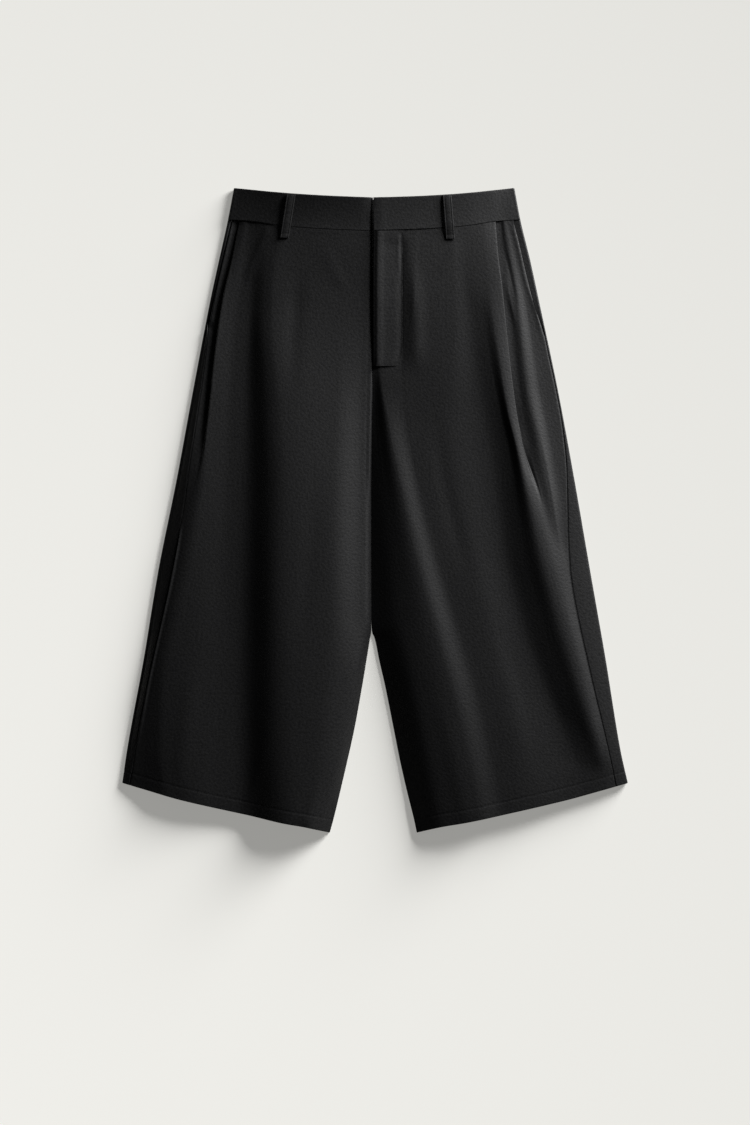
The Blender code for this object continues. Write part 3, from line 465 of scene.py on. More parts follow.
def frontGrid(side):
    leg = Leg(side, legRows)
    outs, heights = leg.crossings(leg.table["before"])
    foldOut, foldTop = leg.crossing(leg.table["fold"])
    slope = (foldTop - heights[:, -1:]) / (foldOut - outs[:, -1:])
    foldOuts, foldHeights = foldPath(leg, slope)
    firstOuts, firstHeights = beforeFold(leg, foldOuts[:, :1], foldHeights[:, :1], outs, heights)
    lastOuts, lastHeights = afterFold(leg, foldOuts[:, -1:], foldHeights[:, -1:])
    closedOuts = np.hstack([firstOuts[:, :-1], foldOuts, lastOuts[:, 1:]])
    closedHeights = np.hstack([firstHeights[:, :-1], foldHeights, lastHeights[:, 1:]])
    # lower down the fold opens into one soft ridge, so the row becomes a plain curve through its knots
    beyond = foldColumns["beyond"]
    lastOuts, lastHeights = lastOuts[:, beyond:], lastHeights[:, beyond:]
    across = mix(foldOut, lastOuts[:, :1], np.linspace(0, 1, foldOuts.shape[1] + beyond)[None, :])
    openOuts = np.hstack([firstOuts[:, :-1], across, lastOuts[:, 1:]])
    knotOuts = np.hstack([firstOuts[:, :-1], foldOut, lastOuts])
    knotHeights = np.hstack([firstHeights[:, :-1], foldTop, lastHeights])
    openHeights = np.array([np.interp(*row) for row in zip(openOuts, knotOuts, knotHeights)])
    openHeights = smoothAcross(openOuts, openHeights, leg.table["softness"])
    opened = softStep(*leg.table["opened"], leg.downAt(foldOut))
    points = leg.placed(mix(closedOuts, openOuts, opened), mix(closedHeights, openHeights, opened))
    return leg, pressed(points, creases["front_" + side]) + rippled(points, unevenness)


def rippled(points, look):
    # slow seeded rise and fall, longer down the leg than across it
    lift = np.zeros_like(points)
    for at in np.ndindex(points.shape[:2]):
        x, y = points[at][0], points[at][1]
        broad = noise.noise(Vector((x / look["size"], y / look["size"] / look["stretch"], look["seed"])))
        fine = noise.noise(Vector((x / look["fine"], y / look["fine"], look["seed"] + 5)))
        lift[at][2] = broad * look["height"] + fine * look["fineHeight"]
    return lift


creaseSteps = 24


def pressed(points, lines):
    # raises or sinks the cloth along short lines of (down, across), fading out at their ends
    x, down = points[..., 0], middleDown - points[..., 1]
    lift = np.zeros_like(x)
    for line, height, (leftReach, rightReach), fades in lines:
        line = np.array(line, float)
        isTall = np.ptp(line[:, 0]) > np.ptp(line[:, 1])
        line = line if isTall else line[:, ::-1]
        line = line[np.argsort(line[:, 0])]
        steps = np.linspace(line[0, 0], line[-1, 0], creaseSteps)
        path = np.stack([steps, Curve(line.tolist())(steps)], axis=1)
        path = path if isTall else path[:, ::-1]
        nearest, place, side, travelled = np.full(x.shape, 1e9), np.zeros_like(x), np.zeros_like(x), 0.0
        for (down0, x0), (down1, x1) in zip(path, path[1:]):
            length = math.hypot(down1 - down0, x1 - x0)
            along = ((down - down0) * (down1 - down0) + (x - x0) * (x1 - x0)) / length ** 2
            along = np.clip(along, 0, 1)
            distance = np.hypot(down - down0 - along * (down1 - down0), x - x0 - along * (x1 - x0))
            isNearer = distance < nearest
            nearest = np.where(isNearer, distance, nearest)
            place = np.where(isNearer, travelled + along * length, place)
            side = np.where(isNearer, (x - x0) * (down1 - down0) - (down - down0) * (x1 - x0), side)
            travelled += length
        start, end = (part * travelled + 0.01 for part in fades)
        taper = softStep(0, start, place) * softStep(0, end, travelled - place)
        reach = np.where(side > 0, rightReach, leftReach)
        lift += height * taper * np.exp(-(nearest / reach) ** 2)
    moved = points.copy()
    moved[..., 2] += lift
    return moved


back = {
    "flatColumns": 25,
    "rollColumns": 24,
    "stripColumns": 12,
    "turnedColumns": 26,
    "stripFrom": 0.2,              # how far past the roll the seam must lie for the strip to show
    "stripBow": 0.3,               # how much the strip swells
}


def backGrid(side):
    # flat underneath, round the roll at the side, and on over the strip that shows beside the seam
    leg = Leg(side, legRows)
    seamOut, seamHeight, inset, seamAngle = leg.sideSeam()
    rows = []
    for i in range(len(legRows)):
        arc = leg.rollArc(i, -math.pi / 2, seamAngle[i, 0], back["rollColumns"])
        if inset[i, 0] > leg.table["roll"] + back["stripFrom"]:
            part = np.linspace(0, 1, back["stripColumns"])[1:]
            outs = mix(arc[-1, 0], seamOut[i, 0], part)
            rise = mix(part, 1 - (1 - part) ** 2, back["stripBow"])
            arc = np.concatenate([arc, np.stack([outs, mix(arc[-1, 1], seamHeight[i, 0], rise)], axis=1)])
        rows.append(resampled(arc, back["turnedColumns"]))
    turned = np.array(rows)
    flat = mix(leg.middleOut, leg.flatEnd, np.linspace(0, 1, back["flatColumns"])[None, :-1])
    points = leg.placed(np.hstack([flat, turned[:, :, 0]]), np.hstack([np.zeros_like(flat), turned[:, :, 1]]))
    return leg, pressed(points, creases["back_" + side])


pocketFacing = {
    "behind": 2.6,                 # how far it goes on behind the mouth, and how much it falls there
    "fall": 0.2,
    "bare": 0.4,
    "rollColumns": 12,
    "columns": 18,
}


def facingGrid(side):
    # from just behind the pocket mouth out to the side seam
    leg = Leg(side, legRows[legRows <= legs[side]["pocketEnd"]])
    mouthOut, mouthHeight = leg.crossing(leg.table["after"]["outer edge"])
    seamAngle = leg.sideSeam()[3]
    rows = []
    for i in range(len(leg.shares)):
        out, height = mouthOut[i, 0], mouthHeight[i, 0] - leg.table["mouthDrop"]
        start = np.array([[out - pocketFacing["behind"], height - pocketFacing["fall"]], [out, height]])
        bare = max(out + pocketFacing["bare"], leg.flatEnd[i, 0])
        first = math.acos((bare - leg.flatEnd[i, 0]) / leg.table["roll"])
        arc = leg.rollArc(i, first, seamAngle[i, 0], pocketFacing["rollColumns"])
        rows.append(resampled(np.concatenate([start, arc]), pocketFacing["columns"]))
    rows = np.array(rows)
    return leg, leg.placed(rows[:, :, 0], rows[:, :, 1])


band = {
    "top": (10.0, 0.5),            # down at the middle and at the side
    "foot": (47.7, 37.2),
    "wall": 2.0,
    "sideHeight": 6.1,
    "gap": 0.15,
    "topRadius": 0.95,
    "footRadius": 0.5,
    "endRadius": 0.9,
    "length": 160.0,
    # share of the way from the centre to the side, and height
    "left": [(0, 14.4), (0.02, 15.2), (0.045, 15.9), (0.09, 16.2), (0.36, 15.8), (0.66, 13.6), (0.86, 9.4),
             (0.985, 6.1)],
    "right": [(0, 18.7), (0.03, 18.9), (0.1, 18.3), (0.24, 17), (0.45, 14.6), (0.66, 11.8), (0.82, 8.6), (0.9, 7),
              (0.985, 6.1)],
    # how much higher the top edge stands than the foot, by the same share
    "leanLeft": [(0, 3.2), (0.12, 4.4), (0.36, 4.8), (0.6, 4.2), (0.85, 2), (0.97, 0)],
    "leanRight": [(0, 1.6), (0.5, 2.4), (0.8, 2), (0.97, 0)],
    "leanFade": 1.8,
    "steps": (1.4, 2.0),           # between two points down the band and along it
    "frontRoll": (84, 15),         # first angle on the roll, in degrees, and its columns
    "backRoll": (-90, 16),
    "backColumns": 40,
}


def bandRows(side):
    # the band's rows, how far each is down the band, and how its long edges are rounded
    places = spaced(band["foot"][0] - band["top"][0], band["steps"][0])
    leg = Leg(side, places / places[-1], band["top"], band["foot"], (topSag, seamSag))
    shift = np.maximum(roundedShift(places, band["topRadius"]), roundedShift(places[-1] - places, band["footRadius"]))
    return leg, shift[:, None]


def bandRoll(leg, roll):
    angles = np.radians(np.linspace(roll[0], 0, roll[1]))[None, :]
    return leg.rolled(angles, np.full_like(leg.side, band["sideHeight"]))


def bandFrontGrid(side):
    leg, shift = bandRows(side)
    places = spaced(band["length"], band["steps"][1])
    outs = mix(leg.middleOut + band["gap"], leg.flatEnd, (places / band["length"])[None, :])
    part = outs / leg.outlineOut
    lean = Curve(band["lean" + side.capitalize()])(part)
    heights = Curve(band[side])(part) + lean * (1 - leg.shares) ** band["leanFade"]
    rollOuts, rollHeights = bandRoll(leg, band["frontRoll"])
    points = leg.placed(np.hstack([outs, rollOuts]), np.hstack([heights, rollHeights]))
    fromCentre = np.append(places, np.full(band["frontRoll"][1], band["length"]))
    return leg, points, np.maximum(shift, roundedShift(fromCentre, band["endRadius"])[None, :])


def bandBackGrid():
    halves = []
    for side in legs:
        leg, shift = bandRows(side)
        flat = mix(leg.middleOut, leg.flatEnd, np.linspace(0, 1, band["backColumns"])[None, :-1])
        rollOuts, rollHeights = bandRoll(leg, band["backRoll"])
        halves.append(leg.placed(np.hstack([flat, rollOuts]), np.hstack([np.zeros_like(flat), rollHeights])))
    return np.concatenate([halves[0][:, :0:-1], halves[1]], axis=1), shift


def heightOn(under, x, y, count=4):
    # height of the cloth at each place, averaged over its nearest points
    cloud = np.concatenate([grid.reshape(-1, 3) for grid in under])
    found = []
    for px, py in zip(np.ravel(x), np.ravel(y)):
        near = (cloud[:, 0] - px) ** 2 + (cloud[:, 1] - py) ** 2
        best = np.argpartition(near, count)[:count]
        weight = 1 / (near[best] + 0.01)
        found.append((cloud[best, 2] * weight).sum() / weight.sum())
    return np.array(found).reshape(np.shape(x))


fly = {
    "width": 34.0,
    "end": 206.0,
    "cornerWidth": 10.0,
    "cornerHeight": 19.0,
    "gap": 0.3,
    "wall": 1.0,
    "thinnest": 0.2,
    # distance from the free edge, and how far the top stands above the front
    "profile": [(0, 0.9), (2, 1.4), (5, 2.3), (8, 2.1), (13, 1.4), (19, 1.0), (26, 0.7), (30, 0.5), (33, 0.34),
                (34, 0.26)],
    "edgeRadius": 0.4,
    "edgeFall": 0.9,
    "creases": [([(50, 27), (80, 27), (116, 27)], 0.45, (2.4, 2.4), (0.2, 0.6))],
    "liesOnColumns": 76,           # as many of the front's columns lie under it
    "rows": (72, 16),              # down the straight part and round the corner
    "step": 0.9,
    "extra": (31.6, 32.2),         # two more columns beside the stitching
    "slantOver": 168.0,            # reach of the waist seam's slant, and of its sag, from the middle
    "sagOver": 162.0,
    "sewnAt": 32.6,
}


def flyGrid(under):
    straightEnd = fly["end"] - fly["cornerHeight"]
    straight = np.linspace(shape["waistSeam"][0] + fly["gap"], straightEnd, fly["rows"][0])
    corner = np.sin(np.linspace(0, math.pi / 2, fly["rows"][1])[1:])
    downs = np.concatenate([straight, straightEnd + fly["cornerHeight"] * corner])[:, None]
    curve = np.maximum(downs - straightEnd, 0) / fly["cornerHeight"]
    widths = fly["width"] - fly["cornerWidth"] * (1 - np.sqrt(np.maximum(1 - curve ** 2, 0)))
    share = np.sort(np.append(spaced(fly["width"], fly["step"]), fly["extra"]))[None, :] / fly["width"]
    across = widths * share
    outs = lineCurve(legs["right"]["before"]["edge"])(downs) + fly["gap"] + across
    slant = (shape["waistSeam"][1] - shape["waistSeam"][0]) / fly["slantOver"]
    fromEnd = (downs[-1] - downs) / (downs[-1] - downs[0])
    sag = seamSag(outs / fly["sagOver"]) * fromEnd
    ys = middleDown - downs - across * slant * (1 - curve) - sag
    rise = Curve(fly["profile"])(share * fly["width"])
    heights = heightOn(under, outs, ys) + rise
    points = pressed(np.stack([outs, ys, heights], axis=-1), fly["creases"])
    # the wall thins out towards its sewn edge
    wall = np.clip(rise + 0 * heights, fly["thinnest"], fly["wall"])
    toEdge = np.minimum(np.minimum(share, 1 - share) * fly["width"], downs[-1] - downs + 0.05)
    return points, wall, roundedShift(toEdge, np.minimum(fly["edgeRadius"], wall)) * fly["edgeFall"]


loops = {
    "left": {"top": (-95.6, 9.3), "foot": (-103.8, 59.4)},      # (across, down)
    "right": {"top": (82.3, 10.6), "foot": (86.2, 60.6)},
    "width": 10.0,
    "wall": 1.5,
    # share of the way down, and how far it stands off what it lies on
    "arch": [(0, 0.4), (0.06, 1.0), (0.3, 1.7), (0.6, 1.7), (0.86, 0.9), (1, 0.4)],
    "edgeRadius": 0.6,
    # distance from the edge, and how deep the stitching pulls the cloth in
    "pull": [(0, 0), (0.9, 0.02), (1.7, 0.22), (2.6, 0.02), (5, -0.08)],
    "fold": {"share": 0.9, "width": 0.02, "depth": 0.3},
    "steps": (1.2, 0.5),
    "sewnColumns": (0.17, 0.83),
    "sewnRows": (0.05, 0.93),
    "liesOnColumns": 90,
}


def loopGrid(side, under):
    ends, fold = loops[side], loops["fold"]
    length = math.dist(ends["top"], ends["foot"])
    places, across = spaced(length, loops["steps"][0]), spaced(loops["width"], loops["steps"][1])
    share = (places / length)[:, None]
    middle = mix(ends["top"][0], ends["foot"][0], share)
    xs = middle + (across - loops["width"] / 2)[None, :]
    ys = middleDown - mix(ends["top"][1], ends["foot"][1], share) + 0 * xs
    lying = blurred(heightOn(under, middle, ys[:, :1]), 5, 0)
    pull = Curve(loops["pull"])(edgeDistance(across))[None, :]
    folded = fold["depth"] * np.exp(-((share - fold["share"]) / fold["width"]) ** 2)
    heights = lying + Curve(loops["arch"])(share) + loops["wall"] - pull - folded
    distance = np.minimum(edgeDistance(places)[:, None], edgeDistance(across)[None, :])
    return np.stack([xs, ys, heights], axis=-1), roundedShift(distance, loops["edgeRadius"])


class Wire:
    # a socket that can be added, multiplied and so on with numbers and other sockets
    def __init__(self, tree, socket):
        self.tree, self.socket = tree, socket

    def math(self, operation, *values):
        return self.tree.node("ShaderNodeMath", {"operation": operation}, values)

    def __add__(self, other):
        return self.math("ADD", self, other)

    def __sub__(self, other):
        return self.math("SUBTRACT", self, other)

    def __rsub__(self, other):
        return self.math("SUBTRACT", other, self)

    def __mul__(self, other):
        return self.math("MULTIPLY", self, other)

    def __truediv__(self, other):
        return self.math("DIVIDE", self, other)

    def __pow__(self, other):
        return self.math("POWER", self, other)

    __radd__, __rmul__ = __add__, __mul__

    def sine(self):
        return self.math("SINE", self)

    def clipped(self, low=0.0, high=1.0):
        return self.math("MINIMUM", self.math("MAXIMUM", self, low), high)


class Tree:
    def __init__(self, tree):
        self.nodes, self.links = tree.nodes, tree.links

    def put(self, socket, value):
        if isinstance(value, Wire):
            self.links.new(value.socket, socket)
        elif value is not None:
            socket.default_value = value

    def node(self, kind, settings=None, values=(), out=0):
        # settings first, then sockets by order or by name
        made = self.nodes.new(kind)
        for key, value in (settings or {}).items():
            setattr(made, key, value)
        pairs = values.items() if isinstance(values, dict) else enumerate(values)
        for key, value in pairs:
            self.put(made.inputs[key], value)
        return Wire(self, made.outputs[out])

    def blend(self, share, first, second):
        # a colour between two colours
        return self.node("ShaderNodeMix", {"data_type": "RGBA"}, {0: share, 6: (*first, 1), 7: (*second, 1)}, out=2)

    def grainNoise(self, place, scale, detail=2.0, roughness=0.6):
        return self.node("ShaderNodeTexNoise", {"noise_dimensions": "2D"},
                         {"Vector": place, "Scale": scale, "Detail": detail, "Roughness": roughness})

    def shine(self, **values):
        for key, value in values.items():
            self.put(self.nodes["Principled BSDF"].inputs[key.replace("_", " ")], value)


def newMaterial(name):
    made = bpy.data.materials.new(name)
    made.use_nodes = True
    return made, Tree(made.node_tree)


clothLook = {
    "color": (0.004, 0.004, 0.0043),
    "pitch": 0.0009,            # metres between two ribs
    "ribs": (0.5, 0.3),         # strength of the slanted and of the level ribs
    "slant": (0.5, 1.1),        # how much the two ribs lean or tighten down the cloth
    "wobble": {"scale": 260.0, "detail": 1.0, "roughness": 0.5},
    "wobbleReach": 5.0,
    "crepe": {"scale": 1100.0},
    "cloud": {"scale": 34.0, "detail": 3.0, "roughness": 0.55},
    "mottle": {"scale": 340.0},
    "relief": {"ribs": 0.25, "crepe": 1.1, "mottle": 3.6},
    "tone": {"ribs": 0.05, "crepe": 0.5, "mottle": 0.75, "cloud": 0.16},
    "bump": 0.55,
    "bumpDepth": 0.0001,
    "roughness": 0.56,
    "roughnessChange": {"crepe": 0.12, "mottle": 0.3},
    "roughnessRange": (0.3, 1.0),
    "specular": 0.28,
    "sheen": 0.012,
    "sheenRoughness": 0.5,
}


def clothMaterial(name, look):
    # fine crepe: two crossed ribs broken up by grain, a little mottling and slow changes of tone
    made, tree = newMaterial(name)
    grain = tree.node("ShaderNodeUVMap", {"uv_map": "grain"})
    split = tree.node("ShaderNodeSeparateXYZ", values=[grain])
    across, down = split, Wire(tree, split.socket.node.outputs[1])
    turn = 2 * math.pi / look["pitch"]
    wobble = tree.grainNoise(grain, **look["wobble"]) * look["wobbleReach"]
    slanted = (across * turn + down * turn * look["slant"][0] + wobble).sine()
    level = (down * turn * look["slant"][1] + wobble).sine()
    ribs = slanted * look["ribs"][0] + level * look["ribs"][1]
    crepe, cloud, mottle = (tree.grainNoise(grain, **look[key]) for key in ("crepe", "cloud", "mottle"))
    relief, tone, rough = look["relief"], look["tone"], look["roughnessChange"]
    height = ribs * relief["ribs"] + crepe * relief["crepe"] + mottle * relief["mottle"]
    shade = ((crepe - 0.5) * tone["crepe"] + (mottle - 0.5) * tone["mottle"] + (cloud - 0.5) * tone["cloud"]
             + ribs * tone["ribs"] + 1.0)
    roughness = (look["roughness"] + (crepe - 0.5) * rough["crepe"] + (mottle - 0.5) * rough["mottle"])
    bump = tree.node("ShaderNodeBump", {},
                     {"Strength": look["bump"], "Distance": look["bumpDepth"], "Height": height})
    tree.shine(Base_Color=tree.blend((shade * 0.5).clipped(), (0, 0, 0), [2 * part for part in look["color"]]),
               Roughness=roughness.clipped(*look["roughnessRange"]), Normal=bump,
               Specular_IOR_Level=look["specular"], Sheen_Weight=look["sheen"],
               Sheen_Roughness=look["sheenRoughness"])
    return made


thread = {
    "pitch": 3.2,
    "length": 2.5,
    "width": 0.44,
    "sink": 0.14,               # how deep a stitch lies in the cloth
    "sway": 0.08,               # how far a stitch may lean out of line
    "uneven": (0.86, 1.08),     # shortest and longest stitch, as a share of the length
    "color": (0.004, 0.004, 0.0043),
    "roughness": 0.62,
    "specular": 0.25,
    "twist": 2600.0,
    "bump": 0.4,
    "bumpDepth": 0.00005,
    "seed": 11,
}


def threadMaterial(look):
    made, tree = newMaterial("black thread")
    place = tree.node("ShaderNodeTexCoord", out=3)
    twist = tree.node("ShaderNodeTexNoise", values={"Vector": place, "Scale": look["twist"], "Detail": 1.0})
    color = tree.blend(twist, [part * 0.6 for part in look["color"]], [part * 1.4 for part in look["color"]])
    bump = tree.node("ShaderNodeBump", {},
                     {"Strength": look["bump"], "Distance": look["bumpDepth"], "Height": twist})
    tree.shine(Base_Color=color, Roughness=look["roughness"], Normal=bump, Specular_IOR_Level=look["specular"])
    return made


def stitchTree(material):
    # a stitch on each point, lying along the seam and facing out of the cloth
    group = bpy.data.node_groups.new("stitches", "GeometryNodeTree")
    for name, kind in (("Points", "Geometry"), ("Stitch Length", "Float"), ("Stitch Width", "Float"), ("Seed", "Int")):
        group.interface.new_socket(name, in_out="INPUT", socket_type="NodeSocket" + kind)
    group.interface.new_socket("Stitches", in_out="OUTPUT", socket_type="NodeSocketGeometry")
    tree = Tree(group)
    given = group.nodes.new("NodeGroupInput")
    points, length, width, seed = (Wire(tree, given.outputs[i]) for i in range(4))
    along, up = (tree.node("GeometryNodeInputNamedAttribute", {"data_type": "FLOAT_VECTOR"}, {"Name": name})
                 for name in ("along", "up"))
    sway = tree.node("FunctionNodeRandomValue", {"data_type": "FLOAT_VECTOR"},
                     {0: [-thread["sway"]] * 3, 1: [thread["sway"]] * 3, "Seed": seed})
    heading = tree.node("ShaderNodeVectorMath", {"operation": "ADD"}, [along, sway])
    turned = tree.node("FunctionNodeAlignRotationToVector", {"axis": "X"}, {"Vector": heading})
    turned = tree.node("FunctionNodeAlignRotationToVector", {"axis": "Z", "pivot_axis": "X"},
                       {"Rotation": turned, "Vector": up})
    uneven = tree.node("FunctionNodeRandomValue", {"data_type": "FLOAT"},
                       {2: thread["uneven"][0], 3: thread["uneven"][1], "Seed": seed})
    size = tree.node("ShaderNodeCombineXYZ", values=[length * uneven * 0.5, width * 0.5, width * 0.5])
    bead = tree.node("GeometryNodeMeshUVSphere", values={"Segments": 6, "Rings": 6, "Radius": 1.0})
    bead = tree.node("GeometryNodeSetShadeSmooth", values={"Geometry": bead})
    placed = tree.node("GeometryNodeInstanceOnPoints",
                       values={"Points": points, "Instance": bead, "Rotation": turned, "Scale": size})
    real = tree.node("GeometryNodeRealizeInstances", values={"Geometry": placed})
    painted = tree.node("GeometryNodeSetMaterial", values={"Geometry": real, "Material": material})
    tree.put(group.nodes.new("NodeGroupOutput").inputs[0], painted)
    return group


def sewn(name, points, along, up, group):
    # turns places along a seam into one plain mesh of stitches
    mesh = bpy.data.meshes.new(name + "_points")
    mesh.from_pydata((np.array(points) * mm).tolist(), [], [])
    for key, values in (("along", along), ("up", up)):
        mesh.attributes.new(key, "FLOAT_VECTOR", "POINT").data.foreach_set("vector", np.array(values).ravel())
    holder = bpy.data.objects.new(name + "_points", mesh)
    bpy.context.collection.objects.link(holder)
    modifier = holder.modifiers.new("stitches", "NODES")
    modifier.node_group = group
    inputs = {item.name: item.identifier for item in group.interface.items_tree if item.in_out == "INPUT"}
    modifier[inputs["Stitch Length"]] = thread["length"] * mm
    modifier[inputs["Stitch Width"]] = thread["width"] * mm
    modifier[inputs["Seed"]] = thread["seed"]
    ready = holder.evaluated_get(bpy.context.evaluated_depsgraph_get())
    plain = bpy.data.meshes.new_from_object(ready)
    holder.modifiers.remove(modifier)
    bpy.data.objects.remove(holder)
    made = bpy.data.objects.new(name, plain)
    bpy.context.collection.objects.link(made)
    return made


clothWall = 0.9
seamRadius = 0.8
hem = {
    "wall": 1.9,
    "depth": 15.0,
    "stitchAbove": 14.6,
    "groove": 0.18,
    "grooveWidth": 1.2,
    "edgeRadius": 0.9,
}
suiting = clothMaterial("black suiting", clothLook)


def sideEdgeShift(points, radius):
    # rounds the last edge along every row
    line = points[:, ::-1]
    lengths = np.cumsum(np.linalg.norm(np.diff(line, axis=1, prepend=line[:, :1]), axis=2), axis=1)
    return roundedShift(lengths, radius)[:, ::-1]


def panel(node, leg, points, facing):
    # a leg panel with its hem turned up and stitched and its side edge rounded into the seam
    aboveHem = (1 - leg.shares) * legLength * np.ones((1, points.shape[1]))
    wall = np.where(aboveHem < hem["depth"], hem["wall"], clothWall)
    groove = hem["groove"] * np.exp(-((aboveHem - hem["stitchAbove"]) / hem["grooveWidth"]) ** 2)
    shift = np.maximum(roundedShift(aboveHem, hem["edgeRadius"]), sideEdgeShift(points, seamRadius))
    makeCloth(node, points, facing, wall, shift + groove)


for side in legs:
    leg, points = frontGrid(side)
    panel("front_" + side, leg, points, leg.sign)
    leg, points = backGrid(side)
    panel("back_" + side, leg, points, -leg.sign)
    leg, points = facingGrid(side)
    makeCloth("pocket_facing_" + side, points, leg.sign, clothWall)
print("panels made")

for side in legs:
    leg, points, shift = bandFrontGrid(side)
    makeCloth("waistband_" + side, points, leg.sign, band["wall"], shift)
points, shift = bandBackGrid()
makeCloth("waistband_back", points, -1, band["wall"], shift)
points, wall, shift = flyGrid([grids["front_right"][:, :fly["liesOnColumns"]]])
makeCloth("fly", points, 1, wall, shift)
for side in legs:
    under = [grids["front_" + side][:, :loops["liesOnColumns"]], grids["waistband_" + side]]
    points, shift = loopGrid(side, under)
    makeCloth("belt_loop_" + side, points, 1, loops["wall"], shift)
print("waistband, fly and loops made")


class Seams:
    # gathers stitch places for one piece, found by looking straight at its cloth from above (1) or below (-1)
    distance = 0.2             # metres from the surface

    def __init__(self, node, side=1):
        cloth = pieces[node].data
        self.node, self.side = node, side
        self.cloth = BVHTree.FromPolygons([v.co for v in cloth.vertices], [p.vertices for p in cloth.polygons])
        self.points, self.along, self.up = [], [], []

    def run(self, path, pitch=thread["pitch"]):
        path = np.array(path, float)
        length = np.linalg.norm(np.diff(path, axis=0), axis=1).sum()
        places = resampled(path, max(int(length / pitch), 1) * 2 + 1)
        for before, place, after in zip(places[0::2], places[1::2], places[2::2]):
            start = Vector((place[0] * mm, place[1] * mm, self.distance * self.side))
            hit, normal, _, _ = self.cloth.ray_cast(start, Vector((0, 0, -self.side)))
            if hit is None:
                continue
            if normal.z * self.side < 0:
                normal = -normal
            heading = Vector((*(after - before), 0)).normalized()
            heading = (heading - normal * heading.dot(normal)).normalized()
            self.points.append(tuple(hit / mm - normal * thread["sink"]))
            self.along.append(tuple(heading))
            self.up.append(tuple(normal))

    def finish(self):
        name = "stitches_" + self.node
        pieces[name] = sewn(name, self.points, self.along, self.up, stitches)


def gridLine(points, share):
    # the path across a grid at a share of its rows
    place = share * (points.shape[0] - 1)
    low = min(int(place), points.shape[0] - 2)
    return mix(points[low], points[low + 1], place - low)[:, :2]


stitches = stitchTree(threadMaterial(thread))
seamInset = {"mouth": 2.2, "band": 2.0}      # from the pocket mouth's edge and from the waistband's foot
shortPitch = 1.1                             # close stitches that hold an end down
hemShare = 1 - hem["stitchAbove"] / legLength
hemPlace = np.interp(hemShare, legRows, np.arange(len(legRows))) / (len(legRows) - 1)
for side in legs:
    for part, seenFrom in (("front_", 1), ("back_", -1)):
        seams = Seams(part + side, seenFrom)
        seams.run(gridLine(grids[part + side], hemPlace)[2:-2])
        if part == "front_":
            mouth = grids[part + side][legRows < legs[side]["pocketEnd"], -1, :2]
            seams.run(mouth[3:] - np.array([legs[side]["sign"] * seamInset["mouth"], 0]))
        seams.finish()
    seams = Seams("waistband_" + side)
    seams.run(grids["waistband_" + side][-1, 3:-14, :2] + np.array([0, seamInset["band"]]))
    seams.finish()
    seams = Seams("belt_loop_" + side)
    strip = grids["belt_loop_" + side][:, :, :2]
    for share in loops["sewnColumns"]:
        seams.run(strip[3:-3, int(share * (strip.shape[1] - 1))])
    for share in loops["sewnRows"]:
        seams.run(strip[int(share * (strip.shape[0] - 1)), 2:-2], shortPitch)
    seams.finish()
seams = Seams("fly")
strip = grids["fly"][:, :, :2]
fromEdge = np.linalg.norm(strip[0] - strip[0, 0], axis=1)
seams.run(strip[:, np.argmin(np.abs(fromEdge - fly["sewnAt"]))])
seams.run(strip[-4, 2:-3], shortPitch)
seams.finish()
print("stitching sewn")


def cutSize(points):
    # a piece's flat width, length and area in metres, measured along its own rows and columns
    across, down = np.diff(points, axis=1), np.diff(points, axis=0)
    width = np.linalg.norm(across, axis=2).sum(axis=1).max() * mm
    length = np.linalg.norm(down, axis=2).sum(axis=0).max() * mm
    area = np.linalg.norm(np.cross(across[:-1], down[:, :-1]), axis=2).sum() * mm * mm
    return (max(width, 0.01), length), area


liesOn = {"waistband_back": ["floor"], "fly": ["front_right_cloth"]}
for side in legs:
    liesOn["back_" + side] = ["floor"]
    liesOn["front_" + side] = liesOn["pocket_facing_" + side] = ["back_" + side + "_cloth"]
    liesOn["waistband_" + side] = ["waistband_back_cloth"]
    liesOn["belt_loop_" + side] = ["waistband_" + side + "_cloth", "front_" + side + "_cloth"]
for name, piece in pieces.items():
    node = name.replace("stitches_", "")
    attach(piece, "root")
    if name == node:
        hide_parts(node)
        flat, area = cutSize(grids[node])
        print("%s cut %.0f x %.0f mm, %.0f cm2" % (node, flat[0] / mm, flat[1] / mm, area * 1e4))


# metres, watts and degrees; the softbox stands to the right of the waist
stageLook = {
    "floorSize": 8.0,
    "floorDrop": 0.0004,
    "floorColor": (0.622, 0.617, 0.59),
    # the floor's glow is painted light: an even glow that brightens the floor and lightens the shadows cast on it
    "floorGlow": 0.3,
    "glowColor": (1, 0.992, 0.945, 1),
    "keyAround": 44.0,
    "keyAbove": 16.5,
    "keyDistance": 2.4,
    "keySize": 1.06,
    "keyPower": 176.0,
    "fill": 0.022,
    "cameraHeight": 3.0,
    "seenHeight": 1.29375,
    "seenMiddle": -0.0598,
    "sensor": 36.0,
}
around, above = math.radians(stageLook["keyAround"]), math.radians(stageLook["keyAbove"])
towardsKey = Vector((math.cos(above) * math.cos(around), math.cos(above) * math.sin(around), math.sin(above)))
keyPlace = towardsKey * stageLook["keyDistance"]

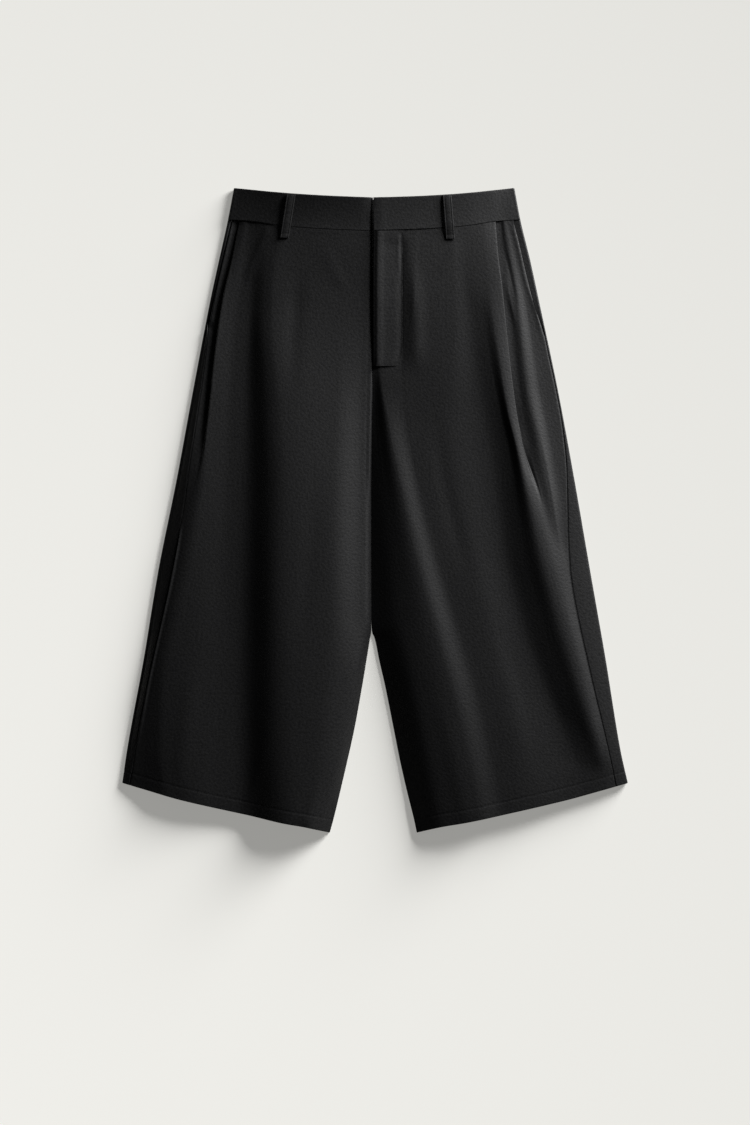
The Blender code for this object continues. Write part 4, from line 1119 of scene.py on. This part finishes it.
floorMesh = bpy.data.meshes.new("floor")
reach = stageLook["floorSize"] / 2
floorCorners = [(-reach, -reach, 0), (reach, -reach, 0), (reach, reach, 0), (-reach, reach, 0)]
floorMesh.from_pydata(floorCorners, [], [(0, 1, 2, 3)])
floor = bpy.data.objects.new("floor", floorMesh)
bpy.context.collection.objects.link(floor)
floorPaint, floorTree = newMaterial("pale floor")
# the paint lightens away from the softbox's foot, so that the floor looks evenly lit
place = floorTree.node("ShaderNodeTexCoord", out=3)
keyFoot = Vector((keyPlace.x, keyPlace.y, 0))
away = floorTree.node("ShaderNodeVectorMath", {"operation": "DISTANCE"}, {0: place, 1: keyFoot}, out=1)
evened = ((away * away + keyPlace.z ** 2) ** 1.5) / stageLook["keyDistance"] ** 3
paint = floorTree.node("ShaderNodeMix", {"data_type": "RGBA", "clamp_factor": False},
                       {0: evened * 0.5, 6: (0, 0, 0, 1), 7: (*[2 * part for part in stageLook["floorColor"]], 1)},
                       out=2)
# besides its paint the floor glows, a painted light that lightens the shadows cast on it
floorTree.shine(Base_Color=paint, Roughness=1.0, Specular_IOR_Level=0.0,
                Emission_Color=stageLook["glowColor"], Emission_Strength=stageLook["floorGlow"])
floorMesh.materials.append(floorPaint)
floor.location.z = -stageLook["floorDrop"]

keyLight = bpy.data.lights.new("softbox", "AREA")
keyLight.energy, keyLight.size = stageLook["keyPower"], stageLook["keySize"]
key = bpy.data.objects.new("softbox", keyLight)
bpy.context.collection.objects.link(key)
key.location = keyPlace
key.rotation_euler = (-towardsKey).to_track_quat("-Z", "Y").to_euler()

world = bpy.data.worlds.new("studio")
bpy.context.scene.world = world
world.use_nodes = True
background = world.node_tree.nodes["Background"].inputs
background["Strength"].default_value = stageLook["fill"]
background["Color"].default_value = (1, 1, 1, 1)

lens = bpy.data.cameras.new("camera")
lens.sensor_width = stageLook["sensor"]
lens.lens = stageLook["sensor"] * stageLook["cameraHeight"] / stageLook["seenHeight"]
camera = bpy.data.objects.new("camera", lens)
camera.location = (0, stageLook["seenMiddle"], stageLook["cameraHeight"])
bpy.context.collection.objects.link(camera)
bpy.context.scene.camera = camera
bpy.context.scene.view_settings.view_transform = "Standard"
print("stage set")
